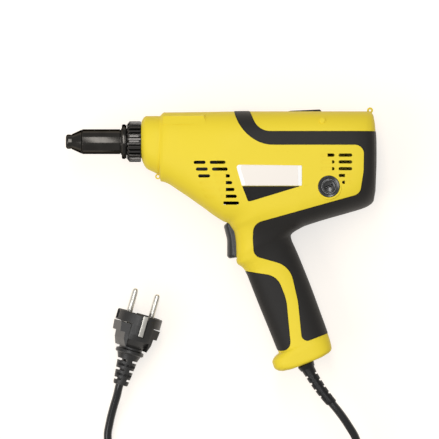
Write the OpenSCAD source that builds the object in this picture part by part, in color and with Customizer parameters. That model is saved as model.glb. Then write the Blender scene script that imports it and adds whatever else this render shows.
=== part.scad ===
// Mains-powered pop riveter: a moulded two-half housing with rubber inlays, a motor beside the
// spindle, a two-stage gear train that turns the spindle nut, and a draw screw that pulls the jaws.
// Millimetres. The tool lies on its right side, as on a table: +X runs along the spindle to the
// rear, +Y from the grip up to the spindle, +Z up from the table. The origin is under the middle
// of the tool. Shapes are built from a working point on the spindle at the housing's front face.

/* [Housing] */
// Length of the housing along the spindle
body_len = 187.5; // [184:0.5:194]
// Height of the housing's top over the spindle
body_top = 24.2; // [24:0.1:27]
// Full thickness of the housing at the motor, before its sides are flattened
body_w = 74; // [72:0.5:80]
// Thickness between the two flat sides
side_w = 71.2; // [69:0.1:72]
// Wall of the moulded halves
wall = 2.8; // [2.4:0.1:3.2]
// Thickness of the rubber inlays
rubber_t = 1.2; // [0.8:0.1:1.5]
// How far the rubber stands proud of the shell
rubber_proud = 0.35; // [0.1:0.05:0.8]
// Length of a ventilation slot's short side
slot_h = 2.3; // [1.6:0.1:3]
// Pitch of the ventilation slots
slot_pitch = 5.4; // [4.6:0.1:6]

/* [Grip] */
// Lean of the grip, back from square to the spindle
grip_tilt = 21.5; // [18:0.5:25]
// Length of the grip, from the level of the trigger's lower end to the foot's end
grip_len = 104.5; // [98:0.5:112]
// Depth of the grip, front to rear
grip_depth = 42; // [39:0.5:45]
// Thickness of the grip, side to side
grip_w = 37; // [34:0.5:42]
// Reach of the foot's toe in front of the grip
toe = 7.4; // [5:0.2:9]

/* [Nose] */
// Outer diameter of the nose sleeve
sleeve_d = 19.9; // [19:0.1:21]
// Length of the bare sleeve, from its cone to the lock ring
sleeve_len = 32.2; // [30:0.1:36]
// Diameter of the nosepiece's tip
tip_d = 11.6; // [10:0.1:13]
// Bore of the nosepiece, for a 3.2 mm mandrel
mandrel_bore = 3.4; // [2.8:0.1:3.6]
// Length of the exposed cone and tip
cone_len = 12.6; // [11:0.1:15]
// Outer diameter of the knurled collar nut
collar_d = 32.6; // [31:0.1:34]
// Length of the collar nut
collar_len = 11.9; // [11:0.1:13]
// Ribs round the collar nut
collar_ribs = 26; // [18:1:32]
// Outer diameter of the lock ring
lock_d = 27.8; // [26:0.1:29]
// Thickness of the lock ring
lock_len = 4.2; // [3.6:0.1:5]

/* [Draw mechanism] */
// Pull of the jaws
stroke = 18; // [10:0.5:19]
// Diameter of the draw screw
screw_d = 12; // [11:0.1:12.6]
// Through bore of the draw screw, for the mandrel
screw_bore = 4.8; // [4:0.1:5.4]
// Outer diameter of the jaw case
jaw_case_d = 15.2; // [14.6:0.1:15.4]
// Number of jaws
jaw_count = 3; // [2:1:4]
// Outer diameter of the spindle nut
nut_d = 19; // [18:0.1:20]

/* [Gear train] */
// Distance of the motor axis under the spindle
motor_drop = 36; // [35:0.25:37]
// Teeth of the motor pinion
motor_teeth = 10; // [10:2:12]
// Teeth of the idler gear
idler_gear_teeth = 40; // [38:2:42]
// Module of the first stage
mod_1 = 0.6; // [0.58:0.01:0.6]
// Teeth of the idler pinion
idler_pinion_teeth = 10; // [10:2:12]
// Teeth of the nut gear
nut_gear_teeth = 46; // [44:2:46]
// Play between meshing teeth
backlash = 0.16; // [0.12:0.01:0.2]
// Clearance round a turning shaft
run_gap = 0.05; // [0.03:0.01:0.1]

/* [Motor] */
// Outer diameter of the field core
field_d = 54; // [50:0.5:54]
// Length of the field core
field_len = 44; // [40:0.5:46]
// Diameter of the armature core
armature_d = 32.8; // [30:0.1:33]
// Diameter of the motor shaft
shaft_d = 8; // [7.6:0.1:8.2]
// Outer diameter of the motor bearings
bearing_d = 22; // [21:0.1:23]
// Width of the motor bearings
bearing_w = 7; // [6.5:0.1:7]
// Diameter of the cooling fan
fan_d = 48; // [44:0.5:48]
// Blades of the cooling fan
fan_blades = 11; // [7:1:15]
// Diameter of the commutator
commutator_d = 19; // [18:0.1:21]
// Diameter of a brush cap
brush_cap_d = 17.2; // [16:0.1:18]

/* [Trigger] */
// Width of the trigger, side to side
trigger_w = 16; // [13:0.5:18]
// Travel of the trigger
trigger_travel = 5; // [3:0.25:5]
// Travel of the return slide on the top
slide_travel = 5; // [3:0.25:6]

/* [Cord and plug] */
// Diameter of the cord
cord_d = 6.5; // [6:0.1:7]
// Diameter of the plug's face
plug_d = 37; // [35:0.5:39]
// Spacing of the plug's pins
pin_pitch = 19; // [18.5:0.1:19.5]
// Diameter of a plug pin
pin_d = 4.8; // [4:0.1:5]
// Length of a plug pin
pin_len = 19; // [18:0.1:20]
// Mean diameter of the stored coil of cord
coil_d = 71; // [68:0.5:80]

/* [Hidden] */
$fn = 48;

yellow = [0.93, 0.83, 0.22];
rubber = [0.22, 0.21, 0.20];
steel = [0.62, 0.62, 0.62];
dark_steel = [0.25, 0.24, 0.23];
copper = [0.72, 0.42, 0.22];

// Gap between pieces that are pushed or screwed together
fit = 0.1;
// Gap between a fixed piece and one that passes it
free = 0.4;
half_side = side_w / 2;

nose_front = -(collar_len + lock_len + sleeve_len + cone_len);
grip_top = [96, -78.7];
grip_dir = [sin(grip_tilt), -cos(grip_tilt)];
grip_across = [cos(grip_tilt), sin(grip_tilt)];
function on_grip(s, t) = grip_top + s * grip_dir + t * grip_across;
hang_eye = [body_len - 5.1, body_top + 0.8];
eye_r = 2.4;
eye_hole_r = 0.9;
front_eye = [12.7, -27.9];

// The cord guard leaves the foot a little in front of the grip's middle
guard_root = on_grip(grip_len - 0.6, -4);
guard_dir = [sin(31.7), -cos(31.7)];
guard_across = [-guard_dir[1], guard_dir[0]];
guard_len = 38.5;
guard_r0 = 7.7;
guard_r1 = 4.3;
function on_guard(s) = guard_root + s * guard_dir;
function guard_r(s) = guard_r0 + (guard_r1 - guard_r0) * min(1, s / (guard_len - 4));
guard_end_r = guard_r1 + 0.9;
guard_tip_r = guard_r1 + 0.2;

// Where the tool's middle lies from the working point, so that the origin comes under it
guard_low = on_guard(guard_len)[1] - guard_tip_r * guard_dir[0];
middle = [(nose_front + body_len + rubber_proud) / 2, (hang_eye[1] + eye_r + guard_low) / 2];
module place() translate([-middle[0], -middle[1], half_side]) children();

// Turns a shape drawn in X and Y and raised along Z so that it runs along the spindle from x
module along(x, y = 0) translate([x, y, 0]) rotate([90, 0, 90]) children();

// A bar of round steps along the spindle: each step is [start, end, radius]
module turned(steps, y = 0)
    along(0, y) rotate_extrude()
        polygon(concat([[0, steps[0][0]]],
            [for (s = steps) each [[s[2], s[0]], [s[2], s[1]]]],
            [[0, steps[len(steps) - 1][1]]]));

module ring(x, length, r_out, r_in, y = 0)
    along(x, y) difference() {
        cylinder(r = r_out, h = length);
        translate([0, 0, -1]) cylinder(r = r_in, h = length + 2);
    }

// Closed surface through rings of points that all have the same count
function loft_faces(rings, m) = concat(
    [for (i = [0:rings - 2], j = [0:m - 1]) each
        [[i * m + j, (i + 1) * m + (j + 1) % m, i * m + (j + 1) % m],
         [i * m + j, (i + 1) * m + j, (i + 1) * m + (j + 1) % m]]],
    [[for (j = [0:m - 1]) j]],
    [[for (j = [m - 1:-1:0]) (rings - 1) * m + j]]);
module loft(rings)
    polyhedron(points = [for (r = rings) each r], faces = loft_faces(len(rings), len(rings[0])),
        convexity = 6);

// A corner list of [x, y, radius] turned into an outline with round corners
function unit(v) = v / norm(v);
function corner(a, b, c, r, n = 5) =
    let (u = unit(a - b), w = unit(c - b), half = acos(max(-1, min(1, u * w))) / 2,
        reach = r / tan(half), mid = b + unit(u + w) * r / sin(half),
        p = b + u * reach, q = b + w * reach)
    r == 0 ? [b] : [for (k = [0:n]) let (d = unit((p - mid) * (n - k) + (q - mid) * k)) mid + r * d];
function flat2(p) = [p[0], p[1]];
function rounded(pts) = [for (i = [0:len(pts) - 1])
    each corner(flat2(pts[(i + len(pts) - 1) % len(pts)]), flat2(pts[i]),
        flat2(pts[(i + 1) % len(pts)]), pts[i][2])];

// The housing's outer form: sections square to the spindle as [x, top, bottom, half thickness,
// squareness], and sections square to the grip as [distance, front, rear, half thickness,
// squareness]. A growth moves the whole surface out or, below zero, in.
belly = body_w / 2;
body_mid = body_len / 2;
rear = body_len;
body_sections = [
    [-0.6, 15.4, -12.4, 14.5, 2.2], [0.3, 17.6, -15.6, 17.5, 2.2],
    [3.2, body_top - 3.7, -21, 20.5, 2.3], [9, body_top - 3.7, -24.2, 22, 2.4],
    [13.2, body_top - 3.6, -25.9, 22.6, 2.4], [13.8, body_top - 4.3, -25.4, 21.9, 2.4],
    [14.5, body_top - 3.4, -31.7, 23, 2.4], [17.4, body_top - 0.8, -32.2, 24.6, 2.5],
    [30.4, body_top - 0.7, -39.8, 27.5, 2.7], [46.3, body_top - 0.5, -50.8, 31.5, 2.9],
    [60, body_top - 0.3, -60.6, 34.5, 3.1], [67.2, body_top - 0.2, -64.6, belly - 1.4, 3.2],
    [84, body_top, -67.5, belly, 3.3], [104, body_top, -69.5, belly, 3.4],
    [121.8, body_top, -70.4, belly, 3.4], [130, body_top, -67.2, belly, 3.4],
    [147, body_top, -61.8, belly, 3.4], [166, body_top, -56.4, belly - 0.8, 3.3],
    [rear - 9.5, body_top, -52.6, belly - 2.6, 3.1], [rear - 5, body_top - 0.4, -50, belly - 4.6, 2.9],
    [rear - 2.2, body_top - 3, -45, belly - 7.4, 2.7], [rear - 0.7, body_top - 10, -36, belly - 12, 2.6],
    [rear, body_top - 20, -24, belly - 19, 2.5]];
grip_half = grip_w / 2;
grip_front = -grip_depth / 2;
grip_rear = grip_depth / 2;
grip_sections = [
    [-20, grip_front, 43, grip_half + 10, 3], [-6, grip_front, 41, grip_half + 8, 2.8],
    [-1, grip_front - 1, 35, grip_half + 5.5, 2.6], [3, grip_front - 2.6, 24.5, grip_half + 3.4, 2.5],
    [5.3, grip_front - 3.6, 22, grip_half + 2.5, 2.4], [9.8, grip_front - 4.4, grip_rear + 0.4, grip_half + 1.2, 2.4],
    [15, grip_front - 1.4, grip_rear + 0.3, grip_half + 0.4, 2.4], [22, grip_front, grip_rear + 0.4, grip_half, 2.4],
    [45, grip_front, grip_rear + 0.6, grip_half - 0.3, 2.4], [70, grip_front + 0.3, grip_rear + 0.6, grip_half - 0.3, 2.4],
    [grip_len - 16, grip_front + 0.4, grip_rear + 0.5, grip_half, 2.4],
    [grip_len - 13.6, grip_front - toe + 3, grip_rear + 0.4, grip_half + 0.6, 2.4],
    [grip_len - 10.5, grip_front - toe + 0.2, grip_rear + 0.2, grip_half + 1, 2.4],
    [grip_len - 6, grip_front - toe, grip_rear - 0.4, grip_half + 1, 2.4],
    [grip_len - 3, grip_front - toe + 1.8, grip_rear - 1.2, grip_half + 0.7, 2.6],
    [grip_len - 1, grip_front - toe + 5.6, grip_rear - 4.4, grip_half - 0.3, 2.5],
    [grip_len, grip_front - toe + 11, grip_rear - 10, grip_half - 3, 2.4]];
round_steps = 12;
inner_steps = 8;

// Upper half of a squared ellipse between two edges, from edge a to edge b, as [across, height]
function half_ring(a, b, w, n, g, steps) = [for (k = [0:steps])
    let (f = 180 * k / steps, c = cos(f), h = (a - b) / 2 + g)
    [(a + b) / 2 + h * sign(c) * pow(abs(c), 2 / n),
     min(half_side + g, (w + g) * pow(abs(sin(f)), 2 / n))]];
function with_skirt(ring) = concat([[ring[0][0], -1]], ring, [[ring[len(ring) - 1][0], -1]]);

module body_form(g, sections, steps) {
    stretch = (body_mid + g) / body_mid;
    loft([for (s = sections)
        [for (p = with_skirt(half_ring(s[1], s[2], s[3], s[4], g, steps)))
            [body_mid + (s[0] - body_mid) * stretch, p[0], p[1]]]]);
}
module grip_form(g, sections, steps) {
    stretch = (grip_len + g) / grip_len;
    loft([for (s = sections)
        [for (p = with_skirt(half_ring(s[2], s[1], s[3], s[4], g, steps)))
            let (q = on_grip(s[0] * stretch, p[0])) [q[0], q[1], p[1]]]]);
}
module upper_form(g) {
    body_form(g, body_sections, round_steps);
    grip_form(g, grip_sections, round_steps);
}
// The hollow inside is plainer than the skin: fewer sections, with flatter rounds
module inner_form(g) {
    body_form(g, [for (i = [0, 2, 4, 7, 9, 11, 14, 15, 17, 20, 22]) body_sections[i]], inner_steps);
    grip_form(g, [for (i = [0, 1, 2, 3, 4, 5, 7, 10, 12, 13, 16]) grip_sections[i]], inner_steps);
}

// Outlines of the rubber inlays and of the badge, seen from the side
band_outline = rounded([
    [71, 34, 0], [77, 14, 24], [88, -2.9, 16], [177.6, -2.9, 7], [177.2, -24, 30],
    [174.6, -41.8, 7], [92, -64.6, 5], [88.3, -76, 10], [90, -91.6, 8], [118, -99.5, 18],
    [124.5, -128, 30], [127.8, -161, 5], [152, -151.8, 0], [175, -140, 0], [200, -70, 0],
    [200, 8.1, 0], [93, 8.1, 14], [82, 34, 0]]);
inlay_outline = rounded([
    [70, -101.5, 0], [108, -107.3, 14], [115.4, -126, 40], [119.4, -168.4, 7], [100, -169.4, 0],
    [60, -130, 0]]);
badge_outline = rounded([[75, -18.9, 2.4], [127.3, -19.4, 0.6], [127.3, -35.3, 0.6], [79.8, -35.3, 1]]);
wedge_outline = rounded([[79.9, -35.6, 0.3], [126.6, -35.6, 0.2], [86.9, -47.9, 0.8], [84.6, -47.9, 0.8]]);

// A free-form moulding, kept as one mesh at its own size
module moulded() resize([0, 0, 0]) children();

// A layer of the housing's surface inside an outline, between two growths of the form
module surface_layer(outline, g_in, g_out)
    moulded() intersection() {
        linear_extrude(half_side + 5) polygon(outline);
        difference() {
            upper_form(g_out);
            upper_form(g_in);
        }
    }

// Ventilation slots: each [left end, right end, height on the side]
front_slots = concat(
    [for (i = [0:2]) [41.4 + 1.8 * i, 50.9 + 1.8 * i, -16.8 - slot_pitch * i]],
    [for (i = [0:1]) [54.2 + 1.8 * i, 66.7 + 1.8 * i, -16.8 - slot_pitch * i]],
    [for (i = [2:5]) [67, 66.7 + 1.8 * i, -16.8 - slot_pitch * i]],
    [[65.1, 77.5, -16.8 - slot_pitch * 6]]);
rear_slots = [[147.8, 153.4, -11.1], [156.6, 167.4, -11.1],
    [156.6, 167.4, -11.1 - slot_pitch], [156.6, 167.4, -11.1 - 2 * slot_pitch],
    [156.6, 161.6, -11.1 - 3 * slot_pitch]];
module vent_slots()
    for (s = concat(front_slots, rear_slots))
        translate([s[0], s[2] - slot_h / 2, half_side - 14]) cube([s[1] - s[0], slot_h, 20]);

// Places that the shells share with the pieces they hold
motor_y = -motor_drop;
screw_places = [[9.5, -18.6], [60, -54.6], [98, 16.4], [176, 14], [177, -44],
    on_grip(9, 15), on_grip(84, 12)];
boss_r = 3.8;
pilot_r = 1.6;
shank_r = 1.5;
shank_hole_r = 1.9;
well_r = 3.5;
well_wall = 1.4;
head_r = 3.2;
head_h = 2.4;
head_level = 10;
screw_reach = 11.5;
slide_x0 = 116;
slide_x1 = 143.3;
slide_half_w = 6;
slide_floor = body_top - 1.9;
stem_x = 129;
stem_l = 4;
stem_half_w = 1.5;
board_y = 5.5;
board_t = 1.6;
board_x = [106, 158];
brush_x = 148.9;
brush_rim_r = brush_cap_d / 2 + 1.6;
brush_rim_level = 20;
neck_r = 13;
front_bearing_x = 57;
rear_bearing_x = 163;
bearing_r = bearing_d / 2;
field_x = 86;
field_r = field_d / 2;

// Works along the cord guard, with the guard's axis as Z
guard_stem_r = 6;
guard_stem = 14;
module along_guard(s = 0)
    translate([on_guard(s)[0], on_guard(s)[1], 0])
        rotate([0, 90, atan2(guard_dir[1], guard_dir[0])]) children();
clamp_s = -18;
clamp_half = 7;
clamp_pillar_z = cord_d / 2 + 0.2;
function clamp_place(side) = on_guard(clamp_s) + side * clamp_half * guard_across;

// Works in the grip's own directions: X across the grip to the rear, Y up the grip
module in_grip() translate([grip_top[0], grip_top[1], 0]) rotate([0, 0, grip_tilt]) children();
module trigger_window(margin)
    in_grip() translate([-44, -6.2 - margin, -trigger_w / 2 - margin])
        cube([40, 29.5 + 2 * margin, trigger_w + 2 * margin]);

// One half's wall, standing on the parting plane
module half_wall()
    difference() {
        upper_form(0);
        inner_form(-wall);
        for (outline = [band_outline, inlay_outline])
            difference() {
                translate([0, 0, -2]) linear_extrude(half_side + 7) polygon(outline);
                upper_form(-rubber_t);
            }
        vent_slots();
        trigger_window(0.5);
        translate([slide_x0 - slide_travel - 0.4, slide_floor, -2])
            cube([slide_x1 - slide_x0 + slide_travel + 0.8, 10, slide_half_w + 2.3]);
        translate([stem_x - slide_travel - 0.4, slide_floor - 5, -2])
            cube([stem_l + slide_travel + 0.8, 10, stem_half_w + 2.4]);
    }

// A wall across the motor's axis inside one half, cut round for what it holds
module seat_rib(x, width, reach, hole_r, level = 0)
    difference() {
        translate([x, motor_y - reach, level]) cube([width, 2 * reach, half_side]);
        along(x - 1, motor_y) cylinder(r = hole_r, h = width + 2);
    }
// What stands inside one half: screw bosses, clamp pillars, motor and bearing ribs, board rests.
// All of it ends a little inside the wall. The brush tunnel goes through the wall.
root_depth = 0.6;
module half_inside(wells) {
    intersection() {
        union() {
            for (p = screw_places) translate([p[0], p[1], 0])
                cylinder(r = wells ? well_r + well_wall : boss_r, h = half_side);
            if (wells) for (side = [-1, 1]) let (p = clamp_place(side))
                translate([p[0], p[1], clamp_pillar_z]) cylinder(r = 2.6, h = half_side);
            for (x = [field_x + 5, field_x + field_len - 8]) seat_rib(x, 3, 20, field_r + fit, 15);
            for (x = [rear_bearing_x + 0.5, rear_bearing_x + bearing_w - 2.5])
                seat_rib(x, 2, 14, bearing_r + fit);
            for (x = [board_x[0] + 2, board_x[1] - 5])
                translate([x, board_y - 3, 14]) cube([3, 3 - fit, half_side]);
        }
        moulded() inner_form(root_depth - wall);
    }
    translate([brush_x, motor_y, brush_rim_level])
        cylinder(r = brush_rim_r, h = half_side - brush_rim_level);
}
// Holes down one half's screw bosses, with wells for the heads on the side that takes them
module boss_holes(hole_r, wells)
    for (p = screw_places) translate([p[0], p[1], -1]) {
        cylinder(r = hole_r, h = wells ? half_side + 9 : screw_reach + 2);
        if (wells) translate([0, 0, head_level + 1]) cylinder(r = well_r, h = half_side + 9);
    }

// One half of the housing with its eyes; the half with wells takes the screw heads
module shell_half(hole_r, wells)
    difference() {
        union() {
            moulded() difference() {
                half_wall();
                translate([-20, -200, -5]) cube([240, 260, 5]);
            }
            half_inside(wells);
            for (e = [[hang_eye, eye_r, 2.5], [front_eye, 2.2, 1.6]])
                translate([e[0][0], e[0][1], 0]) cylinder(r = e[1], h = e[2]);
        }
        boss_holes(hole_r, wells);
        translate([hang_eye[0], hang_eye[1], -1]) cylinder(r = eye_hole_r, h = 9);
        translate([front_eye[0], front_eye[1], -1]) cylinder(r = 1.1, h = 9);
        along(-5) cylinder(r = neck_r + fit, h = 30);
        translate([brush_x, motor_y, brush_rim_level - 1])
            cylinder(r = brush_cap_d / 2 + fit, h = half_side);
        along_guard(-9) cylinder(r = guard_stem_r + fit, h = 16);
        along_guard(0.4) cylinder(r = guard_r0 + fit, h = 9);
        if (wells)
            for (side = [-1, 1]) let (p = clamp_place(side))
                translate([p[0], p[1], 0]) cylinder(r = 1.1, h = 12);
    }

module left_shell() color(yellow) place() shell_half(pilot_r, false);
module right_shell() color(yellow) place() mirror([0, 0, 1]) shell_half(shank_hole_r, true);

// The right rubber and shell are met by two screw heads' wells, which go through the band
module wells_through()
    for (p = screw_places) translate([p[0], p[1], head_level]) cylinder(r = well_r + 0.2, h = half_side, $fn = 12);
// Rubber on one half: proud of the shell, but level with it on the flat side
module half_rubber(outline, wells)
    difference() {
        surface_layer(outline, -rubber_t, rubber_proud);
        translate([-20, -200, -5]) cube([240, 260, 5]);
        translate([-20, -200, half_side]) cube([240, 260, 5]);
        if (wells) wells_through();
    }
module left_overmould() color(rubber) place() moulded() half_rubber(band_outline, false);
module right_overmould() color(rubber) place() moulded() mirror([0, 0, 1])
    half_rubber(band_outline, true);
module left_grip_inlay() color(rubber) place() moulded() half_rubber(inlay_outline, false);
module right_grip_inlay() color(rubber) place() moulded() mirror([0, 0, 1])
    half_rubber(inlay_outline, true);

badge_t = 0.8;
module badge_plate() color("white") place() surface_layer(badge_outline, 0.02, badge_t);
module badge_wedge() color(rubber) place() surface_layer(wedge_outline, 0.02, badge_t - 0.1);

module housing_screws() color(dark_steel) place()
    for (p = screw_places) translate([p[0], p[1], 0]) {
        translate([0, 0, -head_level - head_h / 2])
            cylinder(r = shank_r, h = head_level + head_h / 2 + screw_reach);
        translate([0, 0, -head_level - head_h - fit]) difference() {
            cylinder(r = head_r, h = head_h);
            for (a = [0, 90]) rotate([0, 0, a]) translate([-2, -0.4, -0.1]) cube([4, 0.8, 1.2]);
        }
    }

// The slide on the top: a low wedge that rises to its rear end, with a stem down to its switch
module reverse_slide() color(rubber) place() union() {
    translate([0, 0, -slide_half_w + fit]) linear_extrude(2 * (slide_half_w - fit))
        polygon([[slide_x0, slide_floor + 0.3], [slide_x1, slide_floor + 0.3],
            [slide_x1, body_top + 0.6], [slide_x1 - 1.2, body_top + 1.5],
            [slide_x0 + 3, body_top + 0.5], [slide_x0, body_top - 0.2]]);
    translate([stem_x, slide_floor - 7, -stem_half_w]) cube([stem_l, 7.6, 2 * stem_half_w]);
}
reverse_switch_top = slide_floor - 4.4;
module reverse_switch() color(rubber) place() difference() {
    translate([stem_x - 13, board_y + board_t + 0.02, -6])
        cube([24, reverse_switch_top - board_y - board_t, 12]);
    translate([stem_x - slide_travel - 0.6, slide_floor - 7.6, -stem_half_w - 0.4])
        cube([stem_l + slide_travel + 1.2, 9, 2 * stem_half_w + 0.8]);
}

cap_top = half_side - 0.35;
cap_h = 4.6;
module both_brush_sides() {
    children();
    mirror([0, 0, 1]) children();
}
module brush_caps() color(rubber) place() both_brush_sides()
    translate([brush_x, motor_y, cap_top - cap_h]) difference() {
        cylinder(r = brush_cap_d / 2, h = cap_h);
        translate([0, 0, cap_h - 0.7]) difference() {
            cylinder(r = brush_cap_d / 2 - 1.5, h = 1);
            translate([0, 0, -1]) cylinder(r = 5.2, h = 3);
        }
        rotate([0, 0, 20]) translate([-3.65, -0.8, cap_h - 1.4]) cube([7.3, 1.6, 3]);
    }

// Stations along the spindle, from the nose's tip to the housing
collar_x = -collar_len;
lock_x = collar_x - lock_len;
sleeve_x = lock_x - sleeve_len;
tip_x = sleeve_x - cone_len;
sleeve_r = sleeve_d / 2;
tip_r = tip_d / 2;
case_r = jaw_case_d / 2;
sleeve_bore_r = case_r + 0.3;
spigot_r = 6.8;
spigot_len = 5.4;
nib_len = 2;
jaw_case_x = sleeve_x + spigot_len + 0.4;
module nosepiece() color(dark_steel) place() along(0) rotate_extrude() polygon(concat(
    [[mandrel_bore / 2, tip_x]],
    [for (a = [0:15:90]) [tip_r - 2 + 2 * sin(a), tip_x + 2 - 2 * cos(a)]],
    [[tip_r, tip_x + 4.2], [sleeve_r - 0.6, sleeve_x - 0.6], [sleeve_r - 0.1, sleeve_x],
     [spigot_r, sleeve_x], [spigot_r, sleeve_x + spigot_len], [3.6, sleeve_x + spigot_len],
     [3.4, sleeve_x + spigot_len + nib_len], [2.4, sleeve_x + spigot_len + nib_len],
     [mandrel_bore / 2, sleeve_x + spigot_len]]));
module nose_sleeve() color(steel) place() along(0) rotate_extrude() polygon([
    [spigot_r + fit, sleeve_x + fit], [sleeve_r - 0.7, sleeve_x + fit], [sleeve_r, sleeve_x + 0.8],
    [sleeve_r, lock_x - 1.4], [sleeve_r - 0.5, lock_x - 1.2], [sleeve_r - 0.5, lock_x - 0.8],
    [sleeve_r + 0.7, lock_x - 0.7], [sleeve_r + 0.7, collar_x + 0.3],
    [neck_r - 0.3, collar_x + 0.3], [neck_r - 0.3, collar_x + 2], [sleeve_bore_r, collar_x + 2],
    [sleeve_bore_r, sleeve_x + spigot_len + 0.3], [spigot_r + fit, sleeve_x + spigot_len + 0.3]]);
module lock_ring() color(dark_steel) place() along(0) rotate_extrude() polygon([
    [sleeve_r + 0.7 + fit, lock_x], [lock_d / 2 - 0.6, lock_x], [lock_d / 2, lock_x + 0.6],
    [lock_d / 2, collar_x - 1.3], [lock_d / 2 - 0.6, collar_x - 1.2], [lock_d / 2 - 0.6, collar_x - 0.8],
    [lock_d / 2, collar_x - 0.7], [lock_d / 2, collar_x - 0.5], [sleeve_r + 0.7 + fit, collar_x - 0.5]]);
neck_x = collar_x + 2.1;
collar_end = -0.9;
module collar_nut() color(dark_steel) place() difference() {
    union() {
        along(0) rotate_extrude() polygon([
            [0, collar_x], [collar_d / 2 - 2.6, collar_x], [collar_d / 2 - 0.9, collar_x + 1.6],
            [collar_d / 2 - 0.9, collar_end], [0, collar_end]]);
        for (k = [0:collar_ribs - 1])
            along(collar_x + 2) rotate([0, 0, 360 * k / collar_ribs])
                translate([collar_d / 2 - 1.4, 0, 0]) cylinder(r = 1.3, h = collar_end - collar_x - 2.8, $fn = 12);
    }
    along(collar_x - 1) cylinder(r = sleeve_r + 1.4, h = 20);
    along(collar_x + 0.2) cylinder(r = neck_r + fit, h = 20);
}

// The jaws, their case and the screw that pulls them
screw_r = screw_d / 2;
jaw_bore_r = screw_r + fit;
jaw_case_end = jaw_case_x + 24.6;
screw_x = jaw_case_end - 6;
screw_end = 69;
cone_end = jaw_case_x + 11.6;
spring_well = 10;
module jaw_case() color(steel) place() along(0) rotate_extrude() polygon([
    [4.2, jaw_case_x], [case_r - 1, jaw_case_x], [case_r, jaw_case_x + 1], [case_r, jaw_case_end],
    [jaw_bore_r, jaw_case_end], [jaw_bore_r, cone_end], [4.2, jaw_case_x + 1.6]]);
module jaws() color(dark_steel) place() difference() {
    along(0) rotate_extrude() polygon([
        [mandrel_bore / 2 + 0.2, jaw_case_x + 2.1], [4.15, jaw_case_x + 2.1],
        [jaw_bore_r - 0.2, cone_end - 0.2], [mandrel_bore / 2 + 0.2, cone_end - 0.2]]);
    for (k = [0:jaw_count - 1])
        rotate([360 * k / jaw_count + 90, 0, 0]) translate([jaw_case_x, 0, -0.5]) cube([20, 10, 1]);
}
pusher_r = jaw_bore_r - 0.3;
module jaw_pusher() color(steel) place() along(0) rotate_extrude() polygon([
    [screw_bore / 2 - 0.3, cone_end + 0.1], [pusher_r, cone_end + 0.1], [pusher_r, cone_end + 2.3],
    [3, cone_end + 2.3], [3, screw_x + 4], [screw_bore / 2 - 0.3, screw_x + 4]]);

// A coil spring as one closed tube along a helix round Z
function helix_rings(r, wire, length, turns, steps = 8, sides = 4) = [for (k = [0:turns * steps])
    let (a = 360 * k / steps, z = wire + (length - 2 * wire) * k / (turns * steps))
        [for (j = [0:sides - 1]) let (b = -360 * j / sides)
            [(r + wire * cos(b)) * cos(a), (r + wire * cos(b)) * sin(a), z + wire * sin(b)]]];
module spring(r, wire, length, turns) loft(helix_rings(r, wire, length, turns));
module jaw_spring() color(steel) place()
    along(cone_end + 2.6) spring(3.95, 0.5, screw_x + spring_well - cone_end - 3, 6);
module draw_screw() color(steel) place() along(0) rotate_extrude() polygon([
    [screw_bore / 2, screw_x + spring_well], [4.9, screw_x + spring_well], [4.9, screw_x],
    [screw_r - 0.6, screw_x], [screw_r, screw_x + 0.6], [screw_r, screw_end - 6],
    [screw_r - 1, screw_end - 6], [screw_r - 1, screw_end], [screw_bore / 2, screw_end]]);
block_w = 21;
block_h = 7;
module guide_block() color(dark_steel) place() difference() {
    union() {
        translate([screw_end - 5.9, -block_h / 2, -block_w / 2]) cube([5.4, block_h, block_w]);
        along(screw_end - 5.9) cylinder(r = screw_r + 1.2, h = 5.4);
    }
    along(0) cylinder(r = screw_r - 1 + 0.05, h = 99);
}
cover_x = 56;
cover_t = 4;
frame_x = cover_x + cover_t;
rail_end = screw_end + stroke + 9;
module guide_frame() color(steel) place() difference() {
    union() {
        translate([frame_x + 0.1, -11, -14]) cube([2, 22, 28]);
        translate([rail_end - 2, -8, -block_w / 2 - 3]) cube([2, 12, block_w + 6]);
        for (side = [-1, 1])
            translate([frame_x, -4, side > 0 ? block_w / 2 + 0.4 : -block_w / 2 - 2.8])
                cube([rail_end - frame_x, 8, 2.4]);
    }
    along(frame_x - 1) cylinder(r = screw_r + 0.8, h = 60);
    translate([frame_x - 1, -20, -30]) cube([1.1, 40, 60]);
}
module limit_switches() color(rubber) place()
    for (x = [frame_x + 3, frame_x + 3 + stroke])
        translate([x, 4.05, block_w / 2 - 2.5]) cube([8, 8, 5.8]);

// Involute gear outline: flanks from the base circle to the tip, thinned by the backlash
pressure = 25;
function involute(a, base) = let (t = sqrt(a * a / (base * base) - 1)) t * 180 / PI - atan(t);
function tooth_half(r, mod, teeth, play) =
    let (pitch_r = mod * teeth / 2, base = pitch_r * cos(pressure))
    90 / teeth - play / 4 / pitch_r * 180 / PI
        + involute(pitch_r, base) - involute(max(r, base), base);
function gear_outline(mod, teeth, play) =
    let (pitch_r = mod * teeth / 2, base = pitch_r * cos(pressure), tip = pitch_r + 0.8 * mod,
        root = pitch_r - 1.15 * mod, start = max(base, root + 0.05 * mod),
        radii = [for (k = [0:3]) start + (tip - start) * k / 3])
    [for (k = [0:teeth - 1]) let (a = 360 * k / teeth) each concat(
        [let (h = tooth_half(start, mod, teeth, play) * 0.98) root * [cos(a - h), sin(a - h)]],
        [for (r = radii) let (h = tooth_half(r, mod, teeth, play)) r * [cos(a - h), sin(a - h)]],
        [for (i = [3:-1:0]) let (h = tooth_half(radii[i], mod, teeth, play))
            radii[i] * [cos(a + h), sin(a + h)]],
        [let (h = tooth_half(start, mod, teeth, play) * 0.98) root * [cos(a + h), sin(a + h)]])];
module gear(mod, teeth, width, bore_r, turn = 0)
    difference() {
        rotate([0, 0, turn]) linear_extrude(width) polygon(gear_outline(mod, teeth, backlash));
        if (bore_r > 0) translate([0, 0, -1]) cylinder(r = bore_r, h = width + 2);
    }

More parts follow.
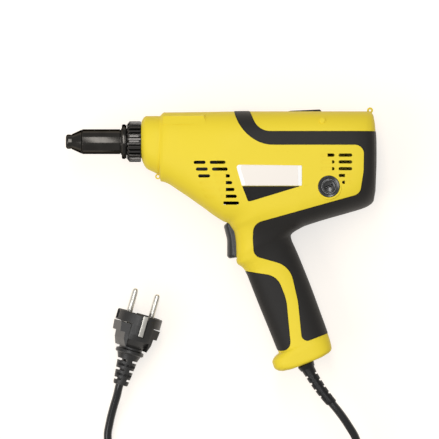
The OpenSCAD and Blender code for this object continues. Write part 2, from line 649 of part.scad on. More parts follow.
// Gear train: the first stage has its module given, and the second takes up what is left
stage_1 = mod_1 * (motor_teeth + idler_gear_teeth) / 2;
stage_2 = motor_drop - stage_1;
mod_2 = 2 * stage_2 / (idler_pinion_teeth + nut_gear_teeth);
idler_y = -stage_2;
idler_r = 2.5;
nut_x = 21.5;
nut_end = 45.5;
nut_r = nut_d / 2;
nut_gear_x = 30;
nut_gear_w = 8;
seat_front = [nut_x, 6, 15];
seat_rear = [nut_end - 5, 5, 14];
stage_1_x = 46.2;
stage_1_w = 5.6;
nut_gear_r = mod_2 * (nut_gear_teeth / 2 + 0.8);
idler_gear_r = mod_1 * (idler_gear_teeth / 2 + 0.8);
motor_pinion_r = mod_1 * (motor_teeth / 2 + 0.8);
gear_room = 0.5;
case_wall = 1.6;
module spindle_nut() color(steel) place() difference() {
    turned([[nut_x, nut_gear_x - 2, nut_r], [nut_gear_x - 2, nut_gear_x - 0.1, nut_r + 1.2],
        [nut_gear_x - 0.1, nut_end, nut_r]]);
    along(0) cylinder(r = screw_r + run_gap, h = 99);
}
module nut_gear() color(steel) place()
    along(nut_gear_x) gear(mod_2, nut_gear_teeth, nut_gear_w, nut_r + 0.02, 180 / nut_gear_teeth);
module nut_bearings() color(steel) place()
    for (b = [seat_front, seat_rear]) ring(b[0], b[1], b[2], nut_r + run_gap);

// Outline of the gearbox across the spindle: circles round the nut, the idler and the motor pinion
module gearbox_shape(x, length, nut, idler, motor) along(x) linear_extrude(length) union() {
    circle(r = nut);
    if (idler > 0) translate([idler_y, 0]) circle(r = idler);
    if (motor > 0) translate([motor_y, 0]) circle(r = motor);
}
case_x = 19;
rear_case_x = 43.4;
case_nut_r = nut_gear_r + gear_room + case_wall;
case_idler_r = idler_gear_r + gear_room + case_wall;
case_pinion_r = motor_pinion_r + gear_room + case_wall + 1;
lug_r = 3.2;
lug_root = 1.5;
function lug_place(y, r, a) = [y + (r + lug_r - lug_root) * cos(a), (r + lug_r - lug_root) * sin(a)];
lugs = [for (side = [-1, 1]) each
    [lug_place(0, case_nut_r, side * 61), lug_place(idler_y, case_idler_r, side * 110)]];
module case_lugs(x, length)
    for (p = lugs) along(x) translate([p[0], p[1], 0]) cylinder(r = lug_r, h = length);
bush_r = 5;
bush_x = 22;
rear_bush_x = 52.4;
module gearbox_case() color("silver") place() difference() {
    union() {
        along(neck_x) cylinder(r = neck_r, h = case_x - neck_x + 1);
        gearbox_shape(case_x, rear_case_x - case_x + 1, case_nut_r, bush_r + case_wall, 0);
        gearbox_shape(rear_case_x, cover_x - rear_case_x, case_nut_r, case_idler_r, case_pinion_r);
        case_lugs(rear_case_x, cover_x - rear_case_x);
    }
    along(neck_x - 1) cylinder(r = case_r + free, h = 60);
    along(seat_front[0]) cylinder(r = seat_front[2] + 0.02, h = 20);
    along(bush_x) translate([idler_y, 0, 0]) cylinder(r = bush_r + 0.02, h = rear_case_x + 2 - bush_x);
    gearbox_shape(nut_gear_x - 2.2, 30, nut_gear_r + gear_room, 0, 0);
    gearbox_shape(rear_case_x - 2.9, 20, nut_gear_r + gear_room, 0, 0);
    gearbox_shape(rear_case_x + 1.9, 20, nut_gear_r + gear_room, idler_gear_r + gear_room,
        motor_pinion_r + 1.5);
    for (p = lugs) along(rear_case_x + 2) translate([p[0], p[1], 0]) cylinder(r = shank_r, h = 20);
}
plate_x = nut_end - 5;
seat_wall = 2.3;
module bearing_plate() color("silver") place() difference() {
    gearbox_shape(plate_x, 4.6, nut_gear_r + gear_room - fit, 0, 0);
    along(plate_x - 1) cylinder(r = seat_rear[2] + 0.02, h = 9);
    along(plate_x - 1) translate([idler_y, 0, 0]) cylinder(r = mod_2 * (idler_pinion_teeth / 2 + 0.8) + 0.4, h = 9);
}
module gearbox_cover() color("silver") place() difference() {
    union() {
        gearbox_shape(cover_x, cover_t, case_nut_r, case_idler_r, bearing_r + seat_wall);
        case_lugs(cover_x, cover_t);
        along(front_bearing_x, motor_y) cylinder(r = bearing_r + seat_wall, h = bearing_w + 0.2);
        along(stage_1_x + stage_1_w + 1, idler_y) cylinder(r = bush_r + 1.9, h = 5);
    }
    along(cover_x - 9) cylinder(r = screw_r + 0.8, h = 30);
    along(cover_x - 9, motor_y) cylinder(r = shaft_d / 2 + 0.5, h = 30);
    along(front_bearing_x, motor_y) cylinder(r = bearing_r + 0.02, h = 30);
    along(cover_x - 9, idler_y) cylinder(r = bush_r + 0.02, h = 10.5);
    for (p = lugs) along(cover_x - 1) translate([p[0], p[1], 0]) cylinder(r = shank_r + 0.1, h = 20);
}
module gearbox_screws() color(dark_steel) place()
    for (p = lugs) along(0) translate([p[0], p[1], 0]) {
        translate([0, 0, rear_case_x + 4]) cylinder(r = shank_r - 0.05, h = cover_x + cover_t - rear_case_x - 3.9);
        translate([0, 0, cover_x + cover_t + 0.05]) cylinder(r = 2.7, h = 2.2);
    }

idler_x = bush_x + 0.3;
idler_end = 56.7;
pinion_x = nut_gear_x - 1;
module idler_shaft() color(steel) place() translate([0, idler_y, 0]) union() {
    turned([[idler_x, idler_end, idler_r]]);
    along(pinion_x) gear(mod_2, idler_pinion_teeth, nut_gear_w + 2, 0);
}
module idler_gear() color(steel) place() translate([0, idler_y, 0])
    along(stage_1_x) gear(mod_1, idler_gear_teeth, stage_1_w, idler_r + 0.02, 180 / idler_gear_teeth);
module idler_bushes() color(copper) place() {
    ring(bush_x + 0.1, 6, bush_r, idler_r + run_gap, idler_y);
    ring(rear_bush_x, 4.4, bush_r, idler_r + run_gap, idler_y);
}

// Motor
shaft_r = shaft_d / 2;
on_shaft = shaft_r + 0.02;
core_slots = 12;
armature_r = armature_d / 2;
commutator_r = commutator_d / 2;
commutator_x = [brush_x - 7, brush_x + 7];
module armature_shaft() color(steel) place() translate([0, motor_y, 0]) union() {
    along(stage_1_x - 0.6) gear(mod_1, motor_teeth, stage_1_w + 1.4, 0);
    turned([[stage_1_x + stage_1_w + 0.7, front_bearing_x, shaft_r - 0.8],
        [front_bearing_x, rear_bearing_x + bearing_w, shaft_r]]);
}
module armature_core() color(dark_steel) place() along(field_x + 0.5, motor_y) difference() {
    cylinder(r = armature_r, h = field_len - 1);
    translate([0, 0, -1]) cylinder(r = on_shaft, h = field_len + 2);
    for (k = [0:core_slots - 1]) rotate([0, 0, 360 * k / core_slots])
        translate([armature_r - 6, -1, -1]) cube([9, 2, field_len + 2]);
}
winding_len = 7;
winding_r = armature_r - 2.4;
module armature_windings() color(copper) place() {
    ring(field_x + 0.4 - winding_len, winding_len, winding_r, on_shaft, motor_y);
    ring(field_x + field_len - 0.4, winding_len, winding_r, on_shaft, motor_y);
}
module commutator() color(copper) place() along(commutator_x[0], motor_y) difference() {
    cylinder(r = commutator_r, h = commutator_x[1] - commutator_x[0]);
    translate([0, 0, -1]) cylinder(r = on_shaft, h = 30);
    for (k = [0:11]) rotate([0, 0, 30 * k + 15])
        translate([commutator_r - 1, -0.25, -1]) cube([3, 0.5, 30]);
}
fan_x = 67;
fan_w = 9;
module cooling_fan() color(rubber) place() along(fan_x, motor_y) difference() {
    union() {
        cylinder(r = fan_d / 2, h = 1.4);
        cylinder(r = 7.5, h = fan_w);
        for (k = [0:fan_blades - 1]) rotate([0, 0, 360 * k / fan_blades])
            translate([6, -0.6, 0]) rotate([0, 0, 12]) cube([fan_d / 2 - 8, 1.2, fan_w]);
    }
    translate([0, 0, -1]) cylinder(r = on_shaft, h = 20);
}
module motor_bearings() color(steel) place()
    for (x = [front_bearing_x, rear_bearing_x]) ring(x, bearing_w, bearing_r, shaft_r + run_gap, motor_y);
coil_r = [armature_r + 1.2, armature_r + 6.6];
bar_half = 6;
module field_core() color(dark_steel) place() along(field_x, motor_y) difference() {
    intersection() {
        cylinder(r = field_r, h = field_len);
        translate([-field_r - 1, -field_r + 1.5, 0]) cube([2 * field_r + 2, 2 * field_r - 3, field_len]);
    }
    translate([0, 0, -1]) cylinder(r = armature_r + 0.6, h = field_len + 2);
    for (a = [45, 135, 225, 315]) rotate([0, 0, a])
        translate([armature_r - 1, -bar_half / 2 - 0.3, -1])
            cube([coil_r[1] - armature_r + 1.4, bar_half + 0.6, field_len + 2]);
}
// Two coils, one round each pole: bars in the core's slots joined by arcs at the ends
coil_over = 6;
module field_coils() color(copper) place() along(field_x, motor_y)
    for (pole = [0, 180]) rotate([0, 0, pole]) {
        for (a = [-45, 45]) rotate([0, 0, a])
            translate([coil_r[0], -bar_half / 2, -coil_over])
                cube([coil_r[1] - coil_r[0], bar_half, field_len + 2 * coil_over]);
        for (z = [-coil_over, field_len + 0.6])
            translate([0, 0, z]) rotate([0, 0, -45]) rotate_extrude(angle = 90)
                translate([coil_r[0] + 0.4, 0]) square([coil_r[1] - coil_r[0] - 0.8, coil_over - 0.6]);
    }
holder_z = 10.4;
collar_z = brush_rim_level + 1;
module brush_holders() color(copper) place() both_brush_sides()
    translate([brush_x, motor_y, 0]) difference() {
        union() {
            translate([-5, -6, holder_z]) cube([10, 12, cap_top - cap_h - holder_z - 0.3]);
            translate([0, 0, collar_z]) cylinder(r = brush_cap_d / 2, h = 6);
        }
        translate([-3.2, -4.2, 0]) cube([6.4, 8.4, 60]);
    }
brush_len = 12;
module carbon_brushes() color([0.15, 0.15, 0.15]) place() both_brush_sides()
    translate([brush_x, motor_y, 0]) difference() {
        translate([-3.1, -4.1, commutator_r - 1.6]) cube([6.2, 8.2, brush_len]);
        translate([-10, 0, 0]) rotate([0, 90, 0]) cylinder(r = commutator_r + 0.1, h = 20);
    }
brush_end = commutator_r - 1.6 + brush_len;
module brush_springs() color(steel) place() both_brush_sides()
    translate([brush_x, motor_y, brush_end + 0.1]) spring(2.2, 0.35, cap_top - cap_h - brush_end - 0.4, 3);

// Trigger: X across the grip to the rear, Y up the grip, with a post into the switch
trigger_outline = rounded([[-21.4, 23, 1.2], [-24.4, 22, 1], [-25.2, 9, 16], [-30.8, -2.4, 1.2],
    [-29.8, -4.3, 0.8], [-24, -5.6, 1], [-13, -5.2, 0.6], [-13, 22.4, 0.6]]);
trigger_back = -13;
post_y = -1;
pocket_y = 9;
pocket_r = 3.5;
pocket_depth = 9.4;
switch_front = trigger_back + trigger_travel + 0.4;
switch_low = -16;
switch_top = pocket_y + 2.8;
module trigger() color(rubber) place() in_grip() difference() {
    union() {
        translate([0, 0, -trigger_w / 2]) linear_extrude(trigger_w) polygon(trigger_outline);
        translate([trigger_back - 1, post_y, 0]) rotate([0, 90, 0]) cylinder(r = 2, h = 8);
    }
    translate([trigger_back - pocket_depth, pocket_y, 0]) rotate([0, 90, 0]) cylinder(r = pocket_r, h = 20);
}
module trigger_switch() color(rubber) place() in_grip() difference() {
    translate([switch_front, switch_low, -8]) cube([17.5, switch_top - switch_low, 16]);
    translate([switch_front - 1, post_y, 0]) rotate([0, 90, 0]) cylinder(r = 2.5, h = 10);
}
spring_front = trigger_back - pocket_depth + trigger_travel + 0.3;
module trigger_spring() color(steel) place() in_grip()
    translate([spring_front, pocket_y, 0]) rotate([0, 90, 0])
        spring(2.7, 0.45, switch_front - spring_front - 0.1, 5);

module control_board() color([0.15, 0.35, 0.2]) place() union() {
    translate([board_x[0], board_y, -29]) cube([board_x[1] - board_x[0], board_t, 58]);
    for (p = [[110, -22, 12, 9], [110, 10, 9, 11], [144, 9, 8, 12], [146, -20, 6, 8]])
        translate([p[0], board_y + board_t - 0.1, p[1]]) cube([p[2], p[3] * 0.8, p[3]]);
}

// Cord guard: a rubber sleeve with rings, held by a flange behind the foot's wall
guard_ring_pitch = 3.3;
guard_rings = 7;
module cord_guard() color(rubber) place() along_guard() rotate_extrude() polygon(concat(
    [[cord_d / 2 + 0.05, -guard_stem], [guard_stem_r - 0.6, -guard_stem], [guard_stem_r - 0.6, -6.6],
     [guard_stem_r - 0.05, -6.4], [guard_stem_r - 0.05, 0.5], [guard_r0 - 0.5, 0.9], [guard_r0, 1.8],
     [guard_r(9), 9]],
    [for (k = [0:guard_rings - 1], q = [[0, 0], [0.2, -0.9], [1.2, -0.9], [1.4, 0]])
        let (s = 11 + k * guard_ring_pitch + q[0]) [guard_r(s) + q[1], s]],
    [[guard_r(33.6), 33.6], [guard_end_r, 34.6], [guard_end_r, guard_len - 1],
     [guard_tip_r, guard_len], [cord_d / 2 + 0.05, guard_len]]));
module cable_clamp() color(steel) place() difference() {
    union() {
        translate([on_guard(clamp_s)[0], on_guard(clamp_s)[1], 0])
            rotate([0, 0, atan2(guard_across[1], guard_across[0])])
                translate([-clamp_half - 2.3, -3.5, cord_d / 2 - 2.9])
                    cube([2 * (clamp_half + 2.3), 7, 5.2]);
    }
    along_guard(clamp_s - 9) cylinder(r = cord_d / 2 + 0.05, h = 18);
    for (side = [-1, 1]) let (p = clamp_place(side)) translate([p[0], p[1], -9]) cylinder(r = 1.2, h = 30);
}
module clamp_screws() color(dark_steel) place()
    for (side = [-1, 1]) let (p = clamp_place(side)) translate([p[0], p[1], 0]) {
        translate([0, 0, -cord_d / 2 - 8]) cylinder(r = 1, h = 8 + cord_d / 2 + cord_d / 2 + 2.4);
        translate([0, 0, cord_d / 2 + 2.35]) cylinder(r = 2, h = 1.4);
    }

// Cord: [x, y, height over the table] from the guard over to the coil, and from it to the plug
coil_centre = [150, -300];
coil_step = 5.7;
lead_points = concat(
    [for (s = [-24, -10, 4, 18, 30, guard_len]) [on_guard(s)[0], on_guard(s)[1], half_side]],
    [[158.5, -222.5, 33.5], [167, -237, 28], [174.5, -252, 21.5], [180.5, -268, 17],
     [184.5, -284, 14.8], [coil_centre[0] + coil_d / 2, coil_centre[1], 14.65]]);
tail_points = [
    [107.5, -300, 3.25], [107, -284, 3.25], [101, -269, 3.25], [88, -260, 3.25], [70, -258, 3.25],
    [52, -260, 3.25], [34, -263, 3.25], [16, -265, 3.25], [-2, -264, 3.25], [-18, -258, 3.25],
    [-27, -247, 3.5], [-29.5, -234, 5], [-28, -221, 8.5], [-25, -209, 13.4]];
function cross_unit(t) = unit([t[1], -t[0], 0]);
function tube_rings(p, r, sides = 8) = [for (i = [0:len(p) - 1])
    let (t = unit(p[min(i + 1, len(p) - 1)] - p[max(i - 1, 0)]), side = cross_unit(t), up = cross(side, t))
    [for (j = [0:sides - 1]) let (a = -360 * (j + 0.5) / sides)
        p[i] + r * (cos(a) * side + sin(a) * up) - [0, 0, half_side]]];
module cord_lead() color(rubber) place() loft(tube_rings(lead_points, cord_d / 2));
module cord_tail() color(rubber) place() loft(tube_rings(concat(tail_points, plug_cord_end), cord_d / 2));
coil_half = 1.5 * cord_d;
coil_h = cord_d + 2 * coil_step;
function coil_profile(g) = rounded([
    [coil_d / 2 - coil_half - g, g > 0 ? 0.2 : 0, g > 0 ? 0 : 2], [coil_d / 2 - coil_half - g, coil_h + g, 3],
    [coil_d / 2 + coil_half + g, coil_h + g, 3], [coil_d / 2 + coil_half + g, g > 0 ? 0.2 : 0, g > 0 ? 0 : 2]]);
module at_coil() translate([coil_centre[0], coil_centre[1], -half_side]) children();
module cord_coil() color(rubber) place() at_coil() rotate_extrude() polygon(coil_profile(0));
module coil_tie() color(dark_steel) place() at_coil() rotate([0, 0, 262]) difference() {
    rotate_extrude(angle = 16) polygon(coil_profile(1.1));
    rotate_extrude() polygon(coil_profile(0.15));
    translate([0, 0, -5]) cube([200, 200, 5.1], center = false);
}

// Plug: lies on the table with its pins side by side; X runs out along the pins
plug_r = plug_d / 2;
plug_face = [-1.5, -138.2];
plug_turn = 74.1;
plug_roll = 16;
plug_dir = [cos(plug_turn), sin(plug_turn), 0];
module at_plug() translate([plug_face[0], plug_face[1], plug_r - half_side])
    rotate([0, 0, plug_turn]) rotate([plug_roll, 0, 0]) children();
boot_end = 59;
function behind_plug(d) = [plug_face[0], plug_face[1], plug_r] - d * plug_dir;
plug_cord_end = [behind_plug(boot_end + 1) - [0.6, 0, 0.7], behind_plug(boot_end - 8)];
pin_root = 12;
pin_root_r = pin_d / 2 - 0.3;
module revolved_back(profile) rotate([0, -90, 0]) rotate_extrude() polygon(profile);
module plug_body() color(rubber) place() at_plug() difference() {
    revolved_back(concat(
        [[0, 0], [plug_r - 0.8, 0], [plug_r, 0.8], [plug_r, 13], [plug_r - 0.7, 16.5], [plug_r - 5.6, 25.5],
         [plug_r - 8.6, 31], [plug_r - 9, 33.5], [plug_r - 8.6, 34.2], [plug_r - 8.6, 36.4], [plug_r - 9.4, 37],
         [6.8, 38]],
        [for (k = [0:4], q = [[0, 0], [0.3, -0.9], [1.5, -0.9], [1.8, 0]])
            [6.7 - 0.33 * k + q[1], 39.2 + 3.7 * k + q[0]]],
        [[4.9, boot_end - 0.6], [4.5, boot_end], [0, boot_end]]));
    for (side = [-1, 1]) translate([-pin_root, side * pin_pitch / 2, 0])
        rotate([0, 90, 0]) cylinder(r = pin_root_r + 0.02, h = 20);
    for (side = [-1, 1]) translate([-18, -2.6, side > 0 ? plug_r - 2.2 : -plug_r - 2]) cube([20, 5.2, 4.2]);
    for (side = [-1, 1]) translate([-27, side * (plug_r + 5.6), 0]) cylinder(r = 10, h = 60, center = true);
    translate([-boot_end - 1, 0, 0]) rotate([0, 90, 0]) cylinder(r = cord_d / 2 + 0.1, h = 10);
}
module plug_pins() color("silver") place() at_plug()
    for (side = [-1, 1]) translate([0, side * pin_pitch / 2, 0]) rotate([0, 90, 0]) rotate_extrude()
        polygon([[0, -pin_root + 0.1], [pin_root_r, -pin_root + 0.1], [pin_root_r, 0.02],
            [pin_d / 2, 0.02], [pin_d / 2, pin_len - 1.6],
            [pin_d / 2 - 0.5, pin_len - 0.6], [pin_d / 2 - 1.3, pin_len], [0, pin_len]]);
module plug_earth_strips() color("silver") place() at_plug()
    for (side = [-1, 1]) translate([-17.5, -2.3, side > 0 ? plug_r - 2.15 : -plug_r + 1.35]) cube([17, 4.6, 0.8]);

left_shell();
right_shell();
left_overmould();
right_overmould();
left_grip_inlay();
right_grip_inlay();
badge_plate();
badge_wedge();
housing_screws();
reverse_slide();
reverse_switch();
brush_caps();
nosepiece();
nose_sleeve();
lock_ring();
collar_nut();
jaw_case();
jaws();
jaw_pusher();
jaw_spring();
draw_screw();
guide_block();
guide_frame();
limit_switches();
spindle_nut();
nut_gear();
nut_bearings();
gearbox_case();
bearing_plate();
gearbox_cover();
gearbox_screws();
idler_shaft();
idler_gear();
idler_bushes();
armature_shaft();
armature_core();
armature_windings();
commutator();
cooling_fan();
motor_bearings();
field_core();
field_coils();
brush_holders();
carbon_brushes();
brush_springs();
trigger();
trigger_switch();
trigger_spring();
control_board();
cord_guard();
cable_clamp();
clamp_screws();
cord_lead();
cord_coil();
coil_tie();
cord_tail();
plug_body();
plug_pins();
plug_earth_strips();
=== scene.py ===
# A mains-powered pop riveter, lying on its right side with its cord and plug beside it.
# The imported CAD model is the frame: its working parts stay, and the mouldings, the nose, the
# trigger and the cord are made again here as finished surfaces in the same places.
from math import cos, pi, radians, sin

import bmesh
import bpy
import numpy as np
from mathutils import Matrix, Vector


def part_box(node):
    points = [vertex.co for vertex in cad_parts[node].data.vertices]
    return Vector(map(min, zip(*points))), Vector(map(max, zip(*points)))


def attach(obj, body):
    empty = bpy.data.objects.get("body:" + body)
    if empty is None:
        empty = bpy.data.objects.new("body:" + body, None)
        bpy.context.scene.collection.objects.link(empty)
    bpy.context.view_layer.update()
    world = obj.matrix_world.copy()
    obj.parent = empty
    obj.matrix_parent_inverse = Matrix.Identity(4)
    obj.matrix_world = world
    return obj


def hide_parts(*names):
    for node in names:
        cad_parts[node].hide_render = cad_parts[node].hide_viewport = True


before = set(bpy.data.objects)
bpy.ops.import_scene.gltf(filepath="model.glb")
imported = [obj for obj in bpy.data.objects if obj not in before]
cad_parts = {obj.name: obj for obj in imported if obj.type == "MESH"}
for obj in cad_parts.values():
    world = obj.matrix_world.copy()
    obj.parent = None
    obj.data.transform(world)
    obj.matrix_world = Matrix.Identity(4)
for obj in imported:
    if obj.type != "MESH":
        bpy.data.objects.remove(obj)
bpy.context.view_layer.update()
scene = bpy.context.scene

# The tabletop: a plain matt white sheet that takes the tool's soft shadow. To the camera and in
# reflections it reads as a white background, and its own diffuse part keeps the shadow.


def linear(red, green, blue):
    """A colour on the usual 0 to 255 scale, as the linear values that a shader takes"""
    c = np.array([red, green, blue]) / 255
    return (*np.where(c <= 0.04045, c / 12.92, ((c + 0.055) / 1.055) ** 2.4), 1.0)


def new_material(name):
    """An empty node material with its output, as (material, nodes, links, output)"""
    material = bpy.data.materials.new(name)
    material.use_nodes = True
    tree = material.node_tree
    tree.nodes.clear()
    return material, tree.nodes, tree.links, tree.nodes.new("ShaderNodeOutputMaterial")


def add_node(nodes, kind, **values):
    """A new shader node with values on its inputs, whose names are written with underscores"""
    made = nodes.new("ShaderNode" + kind)
    for name, value in values.items():
        made.inputs[name.replace("_", " ")].default_value = value
    return made


def white_tabletop():
    """A matt sheet with a white glow that only the camera, reflections and clear parts see"""
    material, nodes, links, output = new_material("white_tabletop")
    matt = add_node(nodes, "BsdfDiffuse", Color=(0.56, 0.48, 0.385, 1))
    glow = add_node(nodes, "Emission", Color=(1, 1, 1, 1), Strength=0.65)
    unlit = add_node(nodes, "Emission", Strength=0)
    path = nodes.new("ShaderNodeLightPath")
    seen = path.outputs["Is Camera Ray"]
    for ray in ("Is Transmission Ray", "Is Glossy Ray"):
        either = nodes.new("ShaderNodeMath")
        either.operation = "MAXIMUM"
        links.new(seen, either.inputs[0])
        links.new(path.outputs[ray], either.inputs[1])
        seen = either.outputs[0]
    pick = nodes.new("ShaderNodeMixShader")
    links.new(seen, pick.inputs["Fac"])
    links.new(unlit.outputs[0], pick.inputs[1])
    links.new(glow.outputs[0], pick.inputs[2])
    both = nodes.new("ShaderNodeAddShader")
    links.new(matt.outputs[0], both.inputs[0])
    links.new(pick.outputs[0], both.inputs[1])
    links.new(both.outputs[0], output.inputs["Surface"])
    return material


TABLE_HALF = 8.0
table_corners = [(x * TABLE_HALF, y * TABLE_HALF, 0) for x, y in ((-1, -1), (1, -1), (1, 1), (-1, 1))]
table_mesh = bpy.data.meshes.new("tabletop")
table_mesh.from_pydata(table_corners, [], [(0, 1, 2, 3)])
table_mesh.materials.append(white_tabletop())
tabletop = bpy.data.objects.new("tabletop", table_mesh)
scene.collection.objects.link(tabletop)

# The studio: a long narrow lamp overhead, which puts the long highlight on the nose, a wide soft one
# at the left, which lets the shadow fall to the right, and an even white room.


def soft_lamp(name, place, aim, size, watts):
    """A rectangular lamp at place that faces aim"""
    lamp = bpy.data.lights.new(name, "AREA")
    lamp.shape = "RECTANGLE"
    lamp.size, lamp.size_y = size
    lamp.energy = watts
    holder = bpy.data.objects.new(name, lamp)
    holder.location = place
    x, y, z = np.array(aim) - np.array(place)
    holder.rotation_euler = (np.arctan2(np.hypot(x, y), -z), 0, np.arctan2(x, -y) + pi)
    scene.collection.objects.link(holder)


soft_lamp("overhead_lamp", (-0.1, 0.65, 2.0), (-0.05, 0.05, 0), (0.42, 2.0), 16)
soft_lamp("window_lamp", (-1.25, -0.45, 1.7), (0, 0, 0), (1.2, 1.2), 13)

room = bpy.data.worlds.new("room")
room.use_nodes = True
room_light = room.node_tree.nodes["Background"]
room_light.inputs["Color"].default_value = (1, 1, 1, 1)
room_light.inputs["Strength"].default_value = 0.51
scene.world = room
scene.view_settings.view_transform = "Standard"

# The camera: straight above the tool, as the photograph was taken, with the spindle level. It stands
# five metres off with a narrow angle, so that hardly any of the tool's sides is seen.
CAMERA_HEIGHT = 5.036
PICTURE_MIDDLE = (-0.0015, 0.03)
CAMERA_ANGLE = 4.023
camera_data = bpy.data.cameras.new("camera")
camera_data.sensor_fit = "HORIZONTAL"
camera_data.angle = radians(CAMERA_ANGLE)
camera_data.clip_end = 50
camera = bpy.data.objects.new("camera", camera_data)
camera.location = (*PICTURE_MIDDLE, CAMERA_HEIGHT)
scene.collection.objects.link(camera)
scene.camera = camera

# The housing's form: two squared-oval bodies, one along the spindle and one down the grip, that
# flow into each other. Every moulded layer below is this form moved in or out a little. Shapes are
# drawn in millimetres from the point where the spindle leaves the housing, with Z up.
collar_low, collar_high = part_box("collar_nut")
SPINDLE = np.array([
    collar_high.x + 0.0009, (collar_low.y + collar_high.y) / 2, (collar_low.z + collar_high.z) / 2])
HALF_SIDE = 35.6
SIDE_TURN = 0.7
BODY_LEN = 187.5
GRIP_LEN = 104.5
GRIP_TOP = np.array([96, -78.7])
GRIP_TILT = radians(21.5)
GRIP_DOWN = np.array([sin(GRIP_TILT), -cos(GRIP_TILT)])
GRIP_ACROSS = np.array([cos(GRIP_TILT), sin(GRIP_TILT)])
# Distance along, first edge, second edge, half thickness, squareness
BODY_SECTIONS = np.array([
    [-0.6, 15.4, -12.4, 14.5, 2.2], [0.3, 17.6, -15.6, 17.5, 2.2], [3.2, 20.5, -21, 20.5, 2.3],
    [9, 20.5, -24.2, 22, 2.4], [12.7, 20.6, -25.8, 22.5, 2.4], [13.8, 20.3, -25.6, 22.1, 2.4],
    [14.8, 20.9, -31.7, 22.9, 2.4], [17.4, 23.4, -32.2, 24.6, 2.5], [30.4, 23.5, -39.8, 27.5, 2.7],
    [46.3, 23.7, -50.8, 31.5, 2.9], [60, 23.9, -60.6, 34.5, 3.1], [67.2, 24, -64.6, 35.6, 3.2],
    [84, 24.2, -67.5, 37, 3.3], [104, 24.2, -69.5, 37, 3.4], [121.8, 24.2, -70.4, 37, 3.4],
    [130, 24.2, -67.2, 37, 3.4], [147, 24.2, -61.8, 37, 3.4], [166, 24.2, -56.4, 36.2, 3.3],
    [178, 24.2, -52.6, 34.4, 3.1], [182.5, 23.8, -50, 32.4, 2.9], [184.9, 21.2, -47.2, 29.6, 2.8],
    [186.2, 14.2, -40, 25, 2.7], [186.9, 4.2, -24, 18, 2.5]])
GRIP_SECTIONS = np.array([
    [-44, 30, -8, 18, 3], [-32, 40, -16, 26, 3.1], [-20, 43, -19.3, 29.5, 3.2],
    [-14.9, 42.5, -18.5, 28, 3.2], [-6, 41, -20.4, 25.6, 3.1], [-1, 35, -22.2, 24.2, 3],
    [3, 24.5, -23.6, 23, 3], [5.3, 22, -24.5, 22.2, 2.9], [9.8, 21.7, -25.4, 21, 2.8],
    [15, 22, -22.4, 19.9, 2.6], [22, 22.3, -21, 18.9, 2.4], [45, 22.5, -21, 18.2, 2.4],
    [70, 22, -20.7, 18.2, 2.4], [88.5, 21.5, -20.6, 18.5, 2.5], [90.9, 21.4, -25.4, 19.1, 2.8],
    [94, 21.2, -28.2, 19.5, 3.2], [98.5, 20.6, -28.4, 19.5, 3.4], [101.5, 19.8, -26.6, 19.4, 3.4],
    [103.5, 16.6, -22.8, 18.8, 3.2], [104.5, 11, -17.4, 16.5, 3]])


def carried(table, at):
    """The table's columns carried smoothly through its rows to new distances, with no overshoot: a
    cubic between each two rows, whose slope at a row is the harmonic mean of the two beside it"""
    x, y = table[:, 0], table[:, 1:]
    gap = np.diff(x)[:, None]
    rise = np.diff(y, axis=0) / gap
    same = rise[1:] * rise[:-1] > 0
    wide = 2 * gap[1:] + gap[:-1]
    near = gap[1:] + 2 * gap[:-1]
    mean = (wide + near) / (wide / np.where(same, rise[:-1], 1) + near / np.where(same, rise[1:], 1))
    slope = np.vstack([rise[:1], np.where(same, mean, 0), rise[-1:]])
    i = np.clip(np.searchsorted(x, at) - 1, 0, len(x) - 2)
    t = np.clip((at - x[i]) / gap[i, 0], 0, 1)[:, None]
    h = gap[i]
    return ((2 * t**3 - 3 * t**2 + 1) * y[i] + (t**3 - 2 * t**2 + t) * h * slope[i]
            + (3 * t**2 - 2 * t**3) * y[i + 1] + (t**3 - t**2) * h * slope[i + 1])


def lesser(a, b, softness):
    """The smaller of two values, with a round turn from one to the other"""
    low = np.minimum(a, b)
    return low - softness * np.log(np.exp((low - a) / softness) + np.exp((low - b) / softness))


def stations(table, step):
    """Distances along a table of sections: each gap between its rows shared into equal steps"""
    x = table[:, 0]
    return np.unique(np.concatenate([
        np.linspace(a, b, int(np.ceil((b - a) / step)) + 1) for a, b in zip(x[:-1], x[1:])]))


def sections(table, growth, step, round_count):
    """Rings of a squared oval: at an angle f round the ring the distance from its middle is
    1 / (|cos f|^n + |sin f|^n)^(1/n) of the half widths, and the side is flattened softly"""
    at = stations(table, step)
    first, second, half, square = carried(table, at).T[:, :, None]
    f = np.linspace(0, 2 * pi, round_count, endpoint=False)[None, :]
    reach = (abs(np.cos(f)) ** square + abs(np.sin(f)) ** square) ** (-1 / square)
    across = (first + second) / 2 + ((first - second) / 2 + growth) * reach * np.cos(f)
    height = (half + growth) * reach * np.sin(f)
    flat = HALF_SIDE + min(growth, 0)
    height = np.sign(height) * np.maximum(
        lesser(flat, abs(height), SIDE_TURN), 0.4 * np.minimum(abs(height), 1))
    return at, across, height


def row_frame(points):
    """Points in millimetres from the spindle's own zero, as points of the row frame in metres"""
    return np.asarray(points, float) / 1000 + SPINDLE


def solid(name, points, faces):
    """A closed mesh from points in millimetres, its doubles merged and its faces turned outwards"""
    mesh = bpy.data.meshes.new(name)
    mesh.from_pydata(row_frame(points).reshape(-1, 3), [], faces)
    shape = bmesh.new()
    shape.from_mesh(mesh)
    bmesh.ops.remove_doubles(shape, verts=shape.verts, dist=1e-7)
    bmesh.ops.recalc_face_normals(shape, faces=shape.faces)
    shape.to_mesh(mesh)
    shape.free()
    made = bpy.data.objects.new(name, mesh)
    scene.collection.objects.link(made)
    return made


